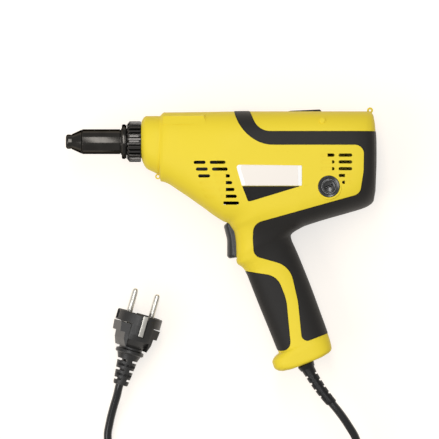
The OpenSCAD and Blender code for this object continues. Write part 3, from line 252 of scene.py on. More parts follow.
def tube(name, rings):
    """A solid through rings of points, with a flat cap at each end"""
    n, m = rings.shape[:2]
    i, j = np.meshgrid(np.arange(n - 1), np.arange(m), indexing="ij")
    k = (j + 1) % m
    quads = np.stack([i * m + j, i * m + k, (i + 1) * m + k, (i + 1) * m + j], -1).reshape(-1, 4)
    return solid(name, rings, quads.tolist() + [list(range(m))[::-1], list(range((n - 1) * m, n * m))])


def merge(base, other, how="UNION"):
    """base joined with, cut by or kept inside other, which is used up"""
    step = base.modifiers.new("merge", "BOOLEAN")
    step.operation = how
    step.solver = "MANIFOLD"
    step.object = other
    made = bpy.data.meshes.new_from_object(base.evaluated_get(bpy.context.evaluated_depsgraph_get()))
    base.modifiers.clear()
    old = base.data
    base.data = made
    bpy.data.meshes.remove(old)
    bpy.data.objects.remove(other)
    return base


def section_field(table, along, across, height, growth):
    """How far points lie off a run of sections, in millimetres: zero on it and less inside"""
    low, high = table[0, 0], table[-1, 0]
    first, second, half, square = carried(table, np.clip(along, low, high)).T
    half_across = (first - second) / 2 + growth
    half_height = half + growth
    reach = (abs((across - (first + second) / 2) / half_across) ** square
             + abs(height / half_height) ** square) ** (1 / square)
    beyond = np.maximum(low - growth - along, along - high - growth)
    return np.maximum((reach - 1) * np.minimum(half_across, half_height), beyond)


def body_and_grip(points, growth):
    """How far points lie off the body's run of sections, and how far off the grip's"""
    offset = points[:, :2] - GRIP_TOP
    height = points[:, 2]
    return (section_field(BODY_SECTIONS, points[:, 0], points[:, 1], height, growth),
            section_field(GRIP_SECTIONS, offset @ GRIP_DOWN, offset @ GRIP_ACROSS, height, growth))


def form_field(points, growth):
    """The housing's form as a field: the lesser of the body's and the grip's, blended where they
    meet, more widely towards the sides and less in front, and flattened at the sides"""
    blend = (1.6 + 0.07 * abs(points[:, 2])) * np.interp(points[:, 0], [72, 92], [0.35, 1])
    body, grip = body_and_grip(points, growth)
    flat = abs(points[:, 2]) - HALF_SIDE - min(growth, 0)
    return -lesser(-lesser(body, grip, blend), -flat, SIDE_TURN)


def form_slope(points, growth):
    """The direction in which the form's field grows fastest, and how fast"""
    step = 0.05
    rise = np.stack([
        form_field(points + step * axis, growth) - form_field(points - step * axis, growth)
        for axis in np.eye(3)], -1) / (2 * step)
    steepness = np.linalg.norm(rise, axis=1, keepdims=True)
    return rise / np.maximum(steepness, 1e-6), np.maximum(steepness, 1e-6)


def vertex_array(mesh):
    """The mesh's vertices in millimetres from the spindle's own zero"""
    found = np.empty(len(mesh.vertices) * 3, np.float32)
    mesh.vertices.foreach_get("co", found)
    return (found.reshape(-1, 3).astype(float) - SPINDLE) * 1000


def move_points(made, points):
    """Gives a solid's vertices new places, in millimetres from the spindle's own zero"""
    made.data.vertices.foreach_set("co", row_frame(points).ravel())
    return made


def housing_form(growth):
    """The whole outer form moved out by growth: the two runs of sections joined, and the crease
    where they meet drawn onto the blended field"""
    at, across, height = sections(BODY_SECTIONS, growth, 1.8, 96)
    along = at + growth * (np.clip((at - BODY_LEN) / 12 + 1, 0, 1) - np.clip(1 - at / 12, 0, 1))
    body = tube("body_form", np.stack([np.broadcast_to(along[:, None], across.shape), across, height], -1))
    at, across, height = sections(GRIP_SECTIONS, growth, 1.2, 88)
    along = at + growth * np.clip((at - GRIP_LEN) / 10 + 1, 0, 1)
    flat = GRIP_TOP + along[:, None, None] * GRIP_DOWN + across[..., None] * GRIP_ACROSS
    form = merge(body, tube("grip_form", np.concatenate([flat, height[..., None]], -1)))
    points = vertex_array(form.data)
    near = (np.abs(body_and_grip(points, growth)).max(axis=0) < 30) & (points[:, 0] < BODY_LEN - 8)
    for _ in range(4):
        slope, steepness = form_slope(points[near], growth)
        points[near] -= np.clip(form_field(points[near], growth)[:, None] / steepness, -2, 2) * slope
    move_points(form, points)
    form.data.update()
    return form


# The two halves of the housing: yellow glass-filled nylon, moulded with a fine spark-eroded grain.
# They meet on the spindle's middle plane and are drawn together by seven screws from the right.
WALL = 2.8
SPLIT_GAP = 0.06
RUBBER_DEPTH = 1.2
BLIND_DEPTH = 0.35
PAST_SIDE = HALF_SIDE + 8
SLOT_H = 2.6
SLOT_PITCH = 5.4
BRUSH = (148.9, -36)
RIGHT_ROWS_LOWERED = 2.1
NECK_R = 13.1
WELL_R = 3.5
SCREW_PLACES = [(9.5, -18.6), (60, -54.6), (98, 16.4), (176, 14), (177, -44),
                tuple(GRIP_TOP + 9 * GRIP_DOWN + 15 * GRIP_ACROSS),
                tuple(GRIP_TOP + 84 * GRIP_DOWN + 12 * GRIP_ACROSS)]
# Low and high corners of the windows in the wall, the first in the grip's own directions
TRIGGER_WINDOW = [(-44, -6.7, -8.5), (-4, 23.8, 8.5)]
SLIDE_WINDOW = [(110.6, 22.3, -6.3), (148.7, 32, 6.3)]
STEM_WINDOW = [(123.6, 17, -1.9), (133.4, 27, 1.9)]
# The cord guard's axis, which the halves are bored for
GUARD_TILT = radians(26)
GUARD_DOWN = np.array([sin(GUARD_TILT), -cos(GUARD_TILT)])
GUARD_ACROSS = np.array([cos(GUARD_TILT), sin(GUARD_TILT)])
GUARD_ROOT = GRIP_TOP + (GRIP_LEN - 0.6) * GRIP_DOWN - 4 * GRIP_ACROSS


def shades(colour, darker, lighter):
    """Two close shades of a colour, each as its share of the colour's light"""
    base = np.array(linear(*colour)[:3])
    return [(*np.minimum(base * share, 1), 1) for share in (darker, lighter)]


def patterned_finish(name, colours, stops, tint_by, fine_by, gloss, relief, **skin_values):
    """A material in two close colours. tint_by picks between them and fine_by raises the surface
    and, within gloss, varies its roughness. Both are (kind of texture, its stretch, its values)."""
    material, nodes, links, output = new_material(name)
    place = nodes.new("ShaderNodeTexCoord")
    found = []
    for kind, stretch, values in (tint_by, fine_by):
        pattern = add_node(nodes, "Tex" + kind, **values)
        mapping = add_node(nodes, "Mapping", Scale=stretch)
        links.new(place.outputs["Object"], mapping.inputs["Vector"])
        links.new(mapping.outputs["Vector"], pattern.inputs["Vector"])
        found.append(pattern.outputs["Fac"])
    skin = add_node(nodes, "BsdfPrincipled", **skin_values)
    tint = nodes.new("ShaderNodeValToRGB")
    for end, stop, colour in zip(tint.color_ramp.elements, stops, colours):
        end.position = stop
        end.color = colour
    bump = add_node(nodes, "Bump", Strength=relief[0], Distance=relief[1])
    links.new(found[0], tint.inputs["Fac"])
    links.new(found[1], bump.inputs["Height"])
    links.new(tint.outputs["Color"], skin.inputs["Base Color"])
    links.new(bump.outputs["Normal"], skin.inputs["Normal"])
    if gloss:
        roughness = add_node(nodes, "MapRange", To_Min=gloss[0], To_Max=gloss[1])
        links.new(found[1], roughness.inputs["Value"])
        links.new(roughness.outputs["Result"], skin.inputs["Roughness"])
    links.new(skin.outputs[0], output.inputs["Surface"])
    return material


# A texture's stretch where it is the same along X, Y and Z
EVEN = (1, 1, 1)


def moulded_plastic(name, colour, roughness, shine, grain, depth, drift):
    """Moulded plastic: a fine eroded grain in the surface, and colour that drifts a little over
    broad patches of it"""
    patches = ("Noise", EVEN, {"Scale": 14, "Detail": 3})
    fine = ("Noise", EVEN, {"Scale": grain, "Detail": 2})
    return patterned_finish(
        name, shades(colour, 1 - drift, 1 + drift), (0.3, 0.7), patches, fine,
        (roughness - 0.07, roughness + 0.07), (0.35, depth), Specular_IOR_Level=shine)


yellow_nylon = moulded_plastic("yellow_nylon", (237, 212, 52), 0.5, 0.25, 2600, 0.00005, 0.012)


def corner_arc(before, at, after, radius, count):
    """Points of the round corner of that radius between two straight edges"""
    a = (before - at) / np.linalg.norm(before - at)
    b = (after - at) / np.linalg.norm(after - at)
    half = np.arccos(np.clip(a @ b, -1, 1)) / 2
    centre = at + (a + b) / np.linalg.norm(a + b) * radius / np.sin(half)
    start = at + a * radius / np.tan(half) - centre
    end = at + b * radius / np.tan(half) - centre
    t = np.linspace(0, 1, count)[:, None]
    ray = start * (1 - t) + end * t
    return centre + radius * ray / np.linalg.norm(ray, axis=1, keepdims=True)


def rounded(corners, count=9):
    """An outline through corners of [x, y, radius], each turned as an arc of that radius"""
    c = np.array(corners, float)
    around = zip(np.roll(c, 1, axis=0), c, np.roll(c, -1, axis=0))
    return np.concatenate([
        corner_arc(a[:2], b[:2], d[:2], b[2], count) if b[2] > 0 else b[None, :2] for a, b, d in around])


def inset(outline, distance):
    """An outline moved in by a distance: each point along the mean of its two edges' inward
    directions. The outline may run either way round."""
    edge = np.roll(outline, -1, axis=0) - outline
    edge = edge / np.linalg.norm(edge, axis=1, keepdims=True)
    inward = np.stack([-edge[:, 1], edge[:, 0]], -1)
    turn = outline[:, 0] * np.roll(outline[:, 1], -1) - outline[:, 1] * np.roll(outline[:, 0], -1)
    both = inward + np.roll(inward, 1, axis=0)
    share = np.maximum((both**2).sum(axis=1, keepdims=True), 0.5)
    return outline + np.sign(turn.sum()) * distance * 2 * both / share


def raised(name, outline, steps):
    """A plate with the outline in X and Y: each step is [height, how far the outline is drawn in]"""
    return tube(name, np.stack([
        np.insert(inset(outline, drawn), 2, height, axis=1) for height, drawn in steps]))


def prism(name, outline, low, high):
    """The outline carried straight up from low to high"""
    return raised(name, outline, [(low, 0), (high, 0)])


def slot_outline(left, right, middle, width, square_left=False, square_right=False):
    """A long slot with round ends, or square where a rib stands behind it"""
    r = width / 2
    turn = np.linspace(-pi / 2, pi / 2, 9)
    round_end = np.stack([np.cos(turn), np.sin(turn)], -1) * r
    square_end = np.array([[r, -r], [r, r]])
    first = (square_end if square_right else round_end) + [right - r, middle]
    second = -(square_end if square_left else round_end) + [left + r, middle]
    return np.concatenate([first, second])


BAND = rounded([
    [71, 34, 0], [75.6, 15.9, 33], [84, 4.9, 33], [96.5, -2.9, 28], [176.8, -2.9, 7],
    [176.4, -24, 30], [173.6, -41.8, 7], [88.9, -65.5, 9], [88.4, -78, 20], [89.3, -91.4, 7],
    [118, -99.5, 18], [124.5, -128, 30], [127.8, -161, 5], [152, -151.8, 0], [175, -140, 0],
    [200, -70, 0], [200, 8.1, 0], [93, 8.1, 14], [82, 34, 0]])
INLAY = rounded([
    [70, -101.5, 0], [108, -107.3, 14], [115.4, -126, 40], [119.4, -168.4, 7], [100, -165.8, 0],
    [60, -130, 0]])


def to_side(side, inner, outer):
    """A span of heights on one side of the middle plane, with its lower end first"""
    return sorted((inner * side, outer * side))


def disc(name, middle, radius, low, high, count=48):
    """A round bar standing on the housing's middle plane"""
    f = np.linspace(0, 2 * pi, count, endpoint=False)
    return prism(name, np.stack([np.cos(f), np.sin(f)], -1) * radius + middle, low, high)


def box(name, low, high):
    """A plain block between two corners"""
    outline = np.array([[low[0], low[1]], [high[0], low[1]], [high[0], high[1]], [low[0], high[1]]])
    return prism(name, outline, low[2], high[2])


def into_grip(made):
    """Puts a solid drawn across and up the grip into its place"""
    points = vertex_array(made.data)
    flat = GRIP_TOP + points[:, :1] * GRIP_ACROSS - points[:, 1:2] * GRIP_DOWN
    return move_points(made, np.hstack([flat, points[:, 2:]]))


def loop_faces(n, m):
    """Quads over a grid of points that closes on itself both ways"""
    i, j = np.meshgrid(np.arange(n), np.arange(m), indexing="ij")
    down, right = (i + 1) % n, (j + 1) % m
    quads = np.stack([i * m + j, i * m + right, down * m + right, down * m + j], -1)
    return quads.reshape(-1, 4).tolist()


def turned_piece(name, profile, start=(0, 0, 0), direction=(1, 0, 0), count=96, across=None):
    """A round piece: a profile of [distance along the axis, radius] carried round the axis. Given
    across, the radius at each angle is worked out by it."""
    along = np.array(direction, float)
    along = along / np.linalg.norm(along)
    side = np.cross(along, [0, 0, 1] if abs(along[2]) < 0.9 else [0, 1, 0])
    side = side / np.linalg.norm(side)
    up = np.cross(along, side)
    profile = np.array(profile, float)
    f = np.linspace(0, 2 * pi, count, endpoint=False)
    radius = np.repeat(profile[:, 1:2], count, axis=1) if across is None else across(profile, f)
    rings = (np.array(start, float) + profile[:, 0, None, None] * along
             + radius[..., None] * (np.cos(f)[:, None] * side + np.sin(f)[:, None] * up))
    return solid(name, rings, loop_faces(len(profile), count))


def round_bar(name, low, high, radius, start=(0, 0, 0), direction=(1, 0, 0), count=32):
    """A plain round bar between two distances along an axis"""
    profile = [[low, 0.01], [low, radius], [high, radius], [high, 0.01]]
    return turned_piece(name, profile, start, direction, count)


def soft_profile(points, radius=0.4, count=4):
    """A closed profile whose corners are all turned with a small radius"""
    c = np.array(points, float)
    reach = np.minimum(np.linalg.norm(c - np.roll(c, 1, axis=0), axis=1),
                       np.linalg.norm(c - np.roll(c, -1, axis=0), axis=1))
    return rounded(np.hstack([c, np.minimum(radius, reach * 0.3)[:, None]]), count)


def cut(base, *tools):
    """base with the shape of every tool taken out of it"""
    for tool in tools:
        merge(base, tool, "DIFFERENCE")
    return base


def keep_inside(base, other):
    """base with only the part of it that lies inside other"""
    return merge(base, other, "INTERSECT")


def joined(parts):
    """Several separate solids as one object"""
    everything = bmesh.new()
    for part in parts:
        everything.from_mesh(part.data)
    everything.to_mesh(parts[0].data)
    everything.free()
    for part in parts[1:]:
        bpy.data.objects.remove(part)
    return parts[0]


def screw_bars(name, radius, low, high):
    """A round bar at the place of every housing screw"""
    return joined([disc(name, place, radius, low, high) for place in SCREW_PLACES])


def vent_slots(side, blind):
    """The cooling slots through one side. Blind ones are the shallow dummy slots that carry the
    rows on over the ribs inside. The two sides' rows stand apart in height, so that nothing long
    and thin goes straight through."""
    lowered = 0 if side > 0 else RIGHT_ROWS_LOWERED
    slots = []
    for row in range(7):
        level = -16.8 - lowered - SLOT_PITCH * row
        shift = 1.8 * row
        if (blind and 2 < row < 6) or (not blind and row < 3):
            slots.append((41.4 + shift, 50.9 + shift, level, False, False))
        if blind and 1 < row < 6:
            slots.append((54.2 + shift, 68 + shift, level, False, False))
        if not blind:
            start = 54.2 + shift if row < 2 else 67 if row < 6 else 65.1
            slots.append((start, 66.7 + shift, level, row > 1, False))
    for row in range(5):
        level = -11.1 - lowered - SLOT_PITCH * row
        if blind:
            slots.append((142.5, 153.4, level, False, False) if row < 3
                         else (156.6, 167.4, level, False, False))
            continue
        if row < 3:
            slots.append((151.4 if row else 147.8, 153.4, level, True, False))
        slots.append((156.6 if row < 4 else 159.3, 167.4 if row < 3 else 161.6, level, False, row > 2))
    span = to_side(side, 20, PAST_SIDE)
    return joined([prism("slot", slot_outline(a, b, level, SLOT_H, c, d), *span)
                   for a, b, level, c, d in slots])


def add_outer_forms(shell, side):
    """Joins on the pad at the front, the small bump, the rim round the brush cap and the two eyes"""
    pad_base = np.array([[16.5, 12.9], [52.6, 13.2], [51.7, 21.6], [16.8, 21.2]])
    pad_top = np.array([[16.9, 13.6], [51.6, 13.6], [49.4, 20.4], [17.2, 20.2]])
    pad_heights = np.array([21.3, 27.3, 23.4, 17.5])
    pad_sunk = np.array([3.5, 3.5, 6.5, 6.5])
    pad = np.stack([np.column_stack([pad_base, (pad_heights - pad_sunk) * side]),
                    np.column_stack([pad_top, pad_heights * side])])
    merge(shell, tube("pad", pad))
    bump = [[-2, 0.01], [-2, 2.6], [0.2, 2.55], [0.75, 2.2], [0.95, 1.5], [0.95, 0.01]]
    merge(shell, turned_piece("bump", bump, (143.7, 16.4, 30.6 * side), (0, 0.42, side), 32))
    rim = soft_profile([[20, 8.7], [20, 10.2], [35.55, 10.2], [35.55, 8.7]], 0.6)
    merge(shell, turned_piece("rim", rim, (*BRUSH, 0), (0, 0, side)))
    for place, radius, hole, reach in (((182.4, 25), 2.4, 0.9, 2.5), ((12.7, -27.9), 2.2, 1.1, 1.6)):
        eye = soft_profile([[-reach, hole], [-reach, radius], [reach, radius], [reach, hole]])
        merge(shell, turned_piece("eye", eye, (*place, 0), (0, 0, 1), 32))


def cut_openings(shell, side):
    """Cuts the beds of the rubber, the vents, the windows, the holes for the brush cap, the nose and
    the cord guard, and the screws' holes: wells for the heads on the right, blind holes on the left"""
    for outline in (BAND, INLAY):
        bed = prism("bed", outline, *to_side(side, 0.01, PAST_SIDE))
        cut(shell, cut(bed, housing_form(-RUBBER_DEPTH)))
    guard_hole = [[-9, 0.01], [-9, 6.1], [0.4, 6.1], [0.4, 7.8], [9.4, 7.8], [9.4, 0.01]]
    cut(shell,
        vent_slots(side, False),
        cut(vent_slots(side, True), housing_form(-BLIND_DEPTH)),
        into_grip(box("trigger_window", *TRIGGER_WINDOW)),
        box("slide_window", *SLIDE_WINDOW),
        box("stem_window", *STEM_WINDOW),
        disc("brush_hole", BRUSH, 8.75, *to_side(side, 18, PAST_SIDE)),
        round_bar("neck_hole", -8, 25, NECK_R, count=96),
        turned_piece("guard_hole", guard_hole, (*GUARD_ROOT, 0), (*GUARD_DOWN, 0), 64))
    if side < 0:
        cut(shell, screw_bars("hole", 1.9, -60, 1), screw_bars("well", WELL_R, -60, -11))
    else:
        cut(shell, screw_bars("hole", 1.6, -1, 12.5))


# How near a layer a corner lies, in millimetres, and the least cosine between its face and the slope
ON_LAYER = 0.5
SAME_WAY = 0.86


def round_normals(piece, growths):
    """Shades the moulded skin by the form's own slope, and every cut wall flat: a corner takes the
    slope where it lies on one of the form's layers and its face looks the same way"""
    mesh = piece.data
    mesh.shade_smooth()
    points = vertex_array(mesh)
    corner = np.empty(len(mesh.loops), np.int32)
    mesh.loops.foreach_get("vertex_index", corner)
    face_normal = np.empty(len(mesh.polygons) * 3, np.float32)
    mesh.polygons.foreach_get("normal", face_normal)
    sides = np.empty(len(mesh.polygons), np.int32)
    mesh.polygons.foreach_get("loop_total", sides)
    flat = np.repeat(face_normal.reshape(-1, 3), sides, axis=0)
    normal = flat.astype(float)
    for growth, inwards in growths:
        slope, _ = form_slope(points, growth)
        slope = slope * inwards
        lies = abs(form_field(points, growth)) < ON_LAYER
        follows = lies[corner] & ((slope[corner] * flat).sum(axis=1) > SAME_WAY)
        normal[follows] = slope[corner][follows]
    mesh.normals_split_custom_set(normal.tolist())


def shell_half(name, side):
    """One moulded half: the skin less its hollow, with screw bosses inside it, its outer forms added
    and its openings cut, and the other half's side cut away"""
    shell = cut(housing_form(0), housing_form(-WALL))
    bosses = screw_bars("boss", 4.9 if side < 0 else 3.8, -40, 40)
    merge(shell, keep_inside(bosses, housing_form(-1.6)))
    add_outer_forms(shell, side)
    cut_openings(shell, side)
    low, high = to_side(side, SPLIT_GAP, 60)
    keep_inside(shell, box("own_side", (-30, -220, low), (230, 60, high)))
    shell.name = name
    round_normals(shell, [(0, 1), (-WALL, -1), (-RUBBER_DEPTH, 1)])
    return shell


def finish_piece(piece, material, slot, *nodes, body="housing"):
    """Gives a piece its material and its body, and hides the CAD nodes it stands for; slot is not used"""
    piece.data.materials.clear()
    piece.data.materials.append(material)
    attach(piece, body)
    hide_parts(*nodes)


HALVES = (("left", 1), ("right", -1))
for half, side in HALVES:
    finish_piece(shell_half(half + "_housing_half", side), yellow_nylon, "yellow_plastic", half + "_shell")

# The soft grip: dark thermoplastic rubber moulded onto each half in a sunken bed, as a band along
# the back of the grip and the motor, and as a pad down the front of the grip.
soft_rubber = moulded_plastic("soft_rubber", (32, 30, 28), 0.58, 0.3, 1500, 0.00008, 0.06)
# How far each step of the rubber stands proud, and how far its outline is drawn in
RUBBER_STEPS = ((0.35, 0.55), (0.08, 0.12))


def stepped_layer(outline, steps, low, high):
    """The form between two heights and inside an outline, moved out in steps: each step is how far
    it is moved out, and how far its outline is drawn in"""
    return merge(*[keep_inside(housing_form(growth), prism("edge", inset(outline, drawn), low, high))
                   for growth, drawn in steps])


def rubber_piece(name, outline, side):
    """The rubber inside one outline: it fills its bed, stands a little proud of the yellow and is
    stepped in at the edge"""
    rubber = stepped_layer(outline, RUBBER_STEPS, *to_side(side, SPLIT_GAP, PAST_SIDE))
    cut(rubber, housing_form(-RUBBER_DEPTH + 0.02))
    if side < 0:
        cut(rubber, screw_bars("well", WELL_R + 0.2, -60, -10))
    rubber.name = name
    round_normals(rubber, [(growth, 1) for growth, _ in RUBBER_STEPS] + [(-RUBBER_DEPTH, -1)])
    return rubber


for part, outline, node in (("band", BAND, "overmould"), ("pad", INLAY, "grip_inlay")):
    for half, side in HALVES:
        rubber = rubber_piece(half + "_rubber_" + part, outline, side)
        finish_piece(rubber, soft_rubber, "black_rubber", half + "_" + node)

# The badge: a white plate with bevelled ends and a dark wedge under it, both thin plastic labels
# that are stuck on the flat left side.
badge_white = moulded_plastic("badge_white", (240, 232, 222), 0.35, 0.4, 3000, 0.00002, 0.01)
# A brighter, glossier copy of the badge's white for its edges: a painted highlight, not a different
# plastic
badge_bevel_painted_highlight = moulded_plastic("badge_bevel_painted_highlight", (255, 254, 250), 0.3, 0.5, 3000, 0.00001, 0)
badge_black = moulded_plastic("badge_black", (14, 12, 10), 0.35, 0.12, 3000, 0.00002, 0.03)


def smooth_faces(piece, angle=35):
    """Smooth shading, with an edge kept sharp where its faces turn by more than the angle"""
    piece.data.shade_smooth()
    piece.data.set_sharp_from_angle(angle=radians(angle))
    return piece


def plate_outline(drawn, end_drawn):
    """The badge's outline, drawn in all round and further at its two ends, with smaller corners"""
    left, right = 74.9 + end_drawn, 127.4 - end_drawn
    top, bottom = -18.7 - drawn, -35.4 + drawn
    return rounded([
        [left, top, max(2.2 - drawn, 0.3)], [right, top - 0.6, max(0.7 - drawn, 0.2)],
        [right, bottom, max(0.7 - drawn, 0.2)], [left + 4.8, bottom, max(0.9 - drawn, 0.2)]])


badge = tube("badge", np.stack([
    np.insert(plate_outline(drawn, end_drawn), 2, height, axis=1)
    for height, drawn, end_drawn in ((35.2, 0, 0), (35.75, 0, 0), (35.95, 0.12, 0.2), (36.4, 0.5, 3))]))
finish_piece(smooth_faces(badge, 6), badge_white, "white_badge", "badge_plate")
# The side walls and the bevels take the brighter white, as a painted highlight along the badge's edges
badge.data.materials.append(badge_bevel_painted_highlight)
facing = np.empty(len(badge.data.polygons) * 3, np.float32)
badge.data.polygons.foreach_get("normal", facing)
painted_highlight_faces = facing.reshape(-1, 3)[:, 2] < 0.999
badge.data.polygons.foreach_set("material_index", painted_highlight_faces.astype(np.int32))
WEDGE = rounded([[79.9, -35.7, 0.4], [126.4, -35.7, 0.2], [86.9, -47.7, 0.8], [84.6, -47.7, 0.8]])
WEDGE_STEPS = ((0.75, 0.8), (0.3, 0))
wedge = cut(stepped_layer(WEDGE, WEDGE_STEPS, 20, 60), housing_form(-0.1))
wedge.name = "badge_dark_wedge"
finish_piece(wedge, badge_black, "black_badge", "badge_wedge")

# The direction slide on the top: a low black wedge with finger grooves that pushes the reversing
# switch under it from run to return.
black_plastic = moulded_plastic("black_plastic", (24, 23, 22), 0.3, 0.35, 2200, 0.00005, 0.05)
SLIDE = rounded([
    [116, 22.6, 0], [143.3, 22.6, 0], [143.3, 24.8, 0.8], [142.1, 25.7, 0.5], [119, 24.7, 2],
    [116, 24, 0.6]])
slide = raised("direction_slide", SLIDE, [
    (-5.9, 0.5), (-5.7, 0.2), (-5.3, 0), (5.3, 0), (5.7, 0.2), (5.9, 0.5)])
merge(slide, box("stem", (129, 15.4, -1.5), (133, 23, 1.5)))
grooves = [box("groove", (x, 25.05, -4.4), (x + 1, 27, 4.4)) for x in (129, 131.6, 134.2, 136.8)]
cut(slide, joined(grooves))
finish_piece(smooth_faces(slide), black_plastic, "black_plastic", "reverse_slide", body="reverse_slide")

# The brush caps: a black screw cap in a yellow rim on each side, over the carbon brushes. Each is
# moulded, with a ring and a dish in its face and a slot for the screwdriver.
cap_black = moulded_plastic("cap_black", (13, 12, 11), 0.24, 1, 1500, 0.00002, 0.02)
CAP = soft_profile([
    [30.7, 0.02], [30.7, 8.55], [35.1, 8.55], [35.25, 8.2], [34.6, 6.4], [33.9, 6.1], [33.9, 5.4],
    [35, 5.05], [35.05, 4.7], [34.75, 3.9], [34.5, 3.75], [33.95, 0.02]], 0.2)
SLOT_TURN = radians(22)


def cap_slot(side):
    """The screwdriver's slot, narrow at its bottom: each step is height, half length, half width"""
    along = np.array([cos(SLOT_TURN), sin(SLOT_TURN)])
    across = np.array([-along[1], along[0]])
    return tube("slot", np.array([
        [[*(BRUSH + a * reach * along + b * wide * across), height * side]
         for a, b in ((-1, -1), (1, -1), (1, 1), (-1, 1))]
        for height, reach, wide in ((32.4, 3.1, 0.1), (34.4, 3.4, 0.95), (40, 3.4, 1))]))


caps = joined([
    cut(turned_piece("cap", CAP, (*BRUSH, 0), (0, 0, side)), cap_slot(side))
    for side in (1, -1)])
caps.name = "brush_screw_caps"
finish_piece(smooth_faces(caps), cap_black, "black_plastic", "brush_caps")

# The nose: a screwed-in nosepiece, the plain sleeve round the jaws, a lock ring and the ribbed
# collar nut that holds it all to the gearbox. Turned steel, blackened and oiled.


def blackened_steel(name, colour, roughness, lines):
    """Turned steel under a black oxide: nearly black, with a deep gloss, and with faint tool marks
    round the axis that run as thin bands along it"""
    oxide = ("Noise", EVEN, {"Scale": 90})
    turning = ("Noise", (lines, 6, 6), {"Scale": 1, "Detail": 4})
    return patterned_finish(
        name, shades(colour, 0.75, 1.4), (0, 1), oxide, turning,
        (roughness - 0.05, roughness + 0.05), (0.02, 0.00002), Metallic=1, Specular_Tint=(0, 0, 0, 1))


black_oxide = blackened_steel("black_oxide", (63, 61, 58), 0.17, 500)
TIP_X = -60.9
SLEEVE_X = -48.3
LOCK_X = -16.1
COLLAR_X = -11.9
TIP_ROUND = 2
tip_turn = [[TIP_X + TIP_ROUND * (1 - cos(a)), 3.8 + TIP_ROUND * sin(a)]
            for a in np.linspace(0, pi / 2, 8)]
nosepiece = turned_piece("nosepiece_tip", np.vstack([
    [[TIP_X, 1.7]], tip_turn, soft_profile([
        [TIP_X + 4.2, 5.8], [SLEEVE_X - 0.6, 9.35], [SLEEVE_X, 9.85], [SLEEVE_X, 6.8],
        [SLEEVE_X + 5.4, 6.8], [SLEEVE_X + 5.4, 3.6], [SLEEVE_X + 7.4, 3.4], [SLEEVE_X + 7.4, 2.4],
        [SLEEVE_X + 5.4, 1.7]], 0.3)]))
finish_piece(smooth_faces(nosepiece, 28), black_oxide, "blackened_steel", "nosepiece")
sleeve = turned_piece("plain_nose_sleeve", soft_profile([
    [SLEEVE_X + 0.1, 6.9], [SLEEVE_X + 0.1, 9.25], [SLEEVE_X + 0.8, 9.95], [LOCK_X - 1.5, 9.95],
    [LOCK_X - 1.3, 9.45], [LOCK_X - 0.8, 9.45], [LOCK_X - 0.6, 10.65], [COLLAR_X + 0.3, 10.65],
    [COLLAR_X + 0.3, 12.7], [COLLAR_X + 2, 12.7], [COLLAR_X + 2, 7.9], [SLEEVE_X + 5.7, 7.9],
    [SLEEVE_X + 5.7, 6.9]], 0.25), count=128)
finish_piece(smooth_faces(sleeve), black_oxide, "blackened_steel", "nose_sleeve")
lock = turned_piece("grooved_lock_ring", soft_profile([
    [LOCK_X, 10.75], [LOCK_X, 13.2], [LOCK_X + 0.7, 13.9], [COLLAR_X - 1.5, 13.9],
    [COLLAR_X - 1.3, 13.2], [COLLAR_X - 0.9, 13.2], [COLLAR_X - 0.7, 13.9], [COLLAR_X - 0.5, 13.6],
    [COLLAR_X - 0.5, 10.75]], 0.25), count=128)
finish_piece(smooth_faces(lock), black_oxide, "blackened_steel", "lock_ring")

COLLAR_RIBS = 24
GROOVE_R = 14.5
RIB_TALL = 1.75
collar_black = blackened_steel("collar_black", (74, 72, 70), 0.24, 500)


def ribbed(profile, f):
    """The collar's radius: the profile's own, held down between the ribs to a round-bottomed
    groove, whose depth follows a clipped cosine of the angle"""
    wave = np.clip(0.62 + 1.5 * np.cos(COLLAR_RIBS * f), 0, 1)
    return np.minimum(profile[:, 1:2], GROOVE_R + RIB_TALL * wave[None, :])


collar_steps = [[x, 16.3] for x in np.linspace(COLLAR_X + 2, -1.6, 6)]
collar = turned_piece("ribbed_collar_nut", np.vstack([
    [[COLLAR_X + 0.2, 11.4], [COLLAR_X, 11.6], [COLLAR_X, 13.6], [COLLAR_X + 0.2, 14.1],
     [COLLAR_X + 0.9, 14.9], [COLLAR_X + 1.6, 15.9]], collar_steps,
    [[-1.1, 16.1], [-0.9, 15.6], [-0.9, NECK_R], [COLLAR_X + 0.4, NECK_R], [COLLAR_X + 0.4, 11.4]]]),
    count=COLLAR_RIBS * 12, across=ribbed)
finish_piece(smooth_faces(collar), collar_black, "blackened_steel", "collar_nut")

# The trigger: one dark grey moulding on the front of the grip, hollowed behind for its spring. It
# slides straight back against the switch.
trigger_grey = moulded_plastic("trigger_grey", (28, 28, 29), 0.33, 0.55, 2200, 0.00004, 0.04)
TRIGGER = rounded([
    [-21.4, 23, 1.2], [-24.4, 22, 2.2], [-25.9, 10.5, 22], [-30.8, -1.8, 2], [-29.8, -4.3, 2],
    [-24, -5.6, 1], [-13, -5.2, 0.6], [-13, 22.4, 0.6]])
TRIGGER_BACK = -13
TRIGGER_HALF = 8


def trigger_outline(height):
    """The trigger's outline at a height over its middle: its front is drawn back towards the two
    sides as half of an ellipse"""
    reach = 0.55 + 0.45 * (1 - (height / (TRIGGER_HALF + 0.1)) ** 2) ** 0.5
    front = TRIGGER_BACK + (TRIGGER[:, 0] - TRIGGER_BACK) * reach
    return np.column_stack([front, TRIGGER[:, 1], np.full(len(TRIGGER), height)])


trigger_heights = TRIGGER_HALF * np.sin(np.linspace(-pi / 2, pi / 2, 25))
trigger = tube("trigger_lever", np.stack([trigger_outline(height) for height in trigger_heights]))
merge(trigger, round_bar("post", -14, -6, 2, (0, -1, 0)))
cut(trigger, round_bar("pocket", -22.4, -5, 3.5, (0, 9, 0)))
finish_piece(
    smooth_faces(into_grip(trigger)), trigger_grey, "trigger_plastic", "trigger", body="trigger")

# The cord guard: a tapered rubber sleeve, slotted all round and keyed into the foot, that keeps the
# cord from bending sharply where it leaves.
guard_rubber = moulded_plastic("guard_rubber", (14, 13, 13), 0.35, 0.4, 1200, 0.00006, 0.05)
GUARD_LEN = 38.5
GUARD_BEND = 5.1
CORD_R = 3.25
BORE_R = CORD_R + 0.05


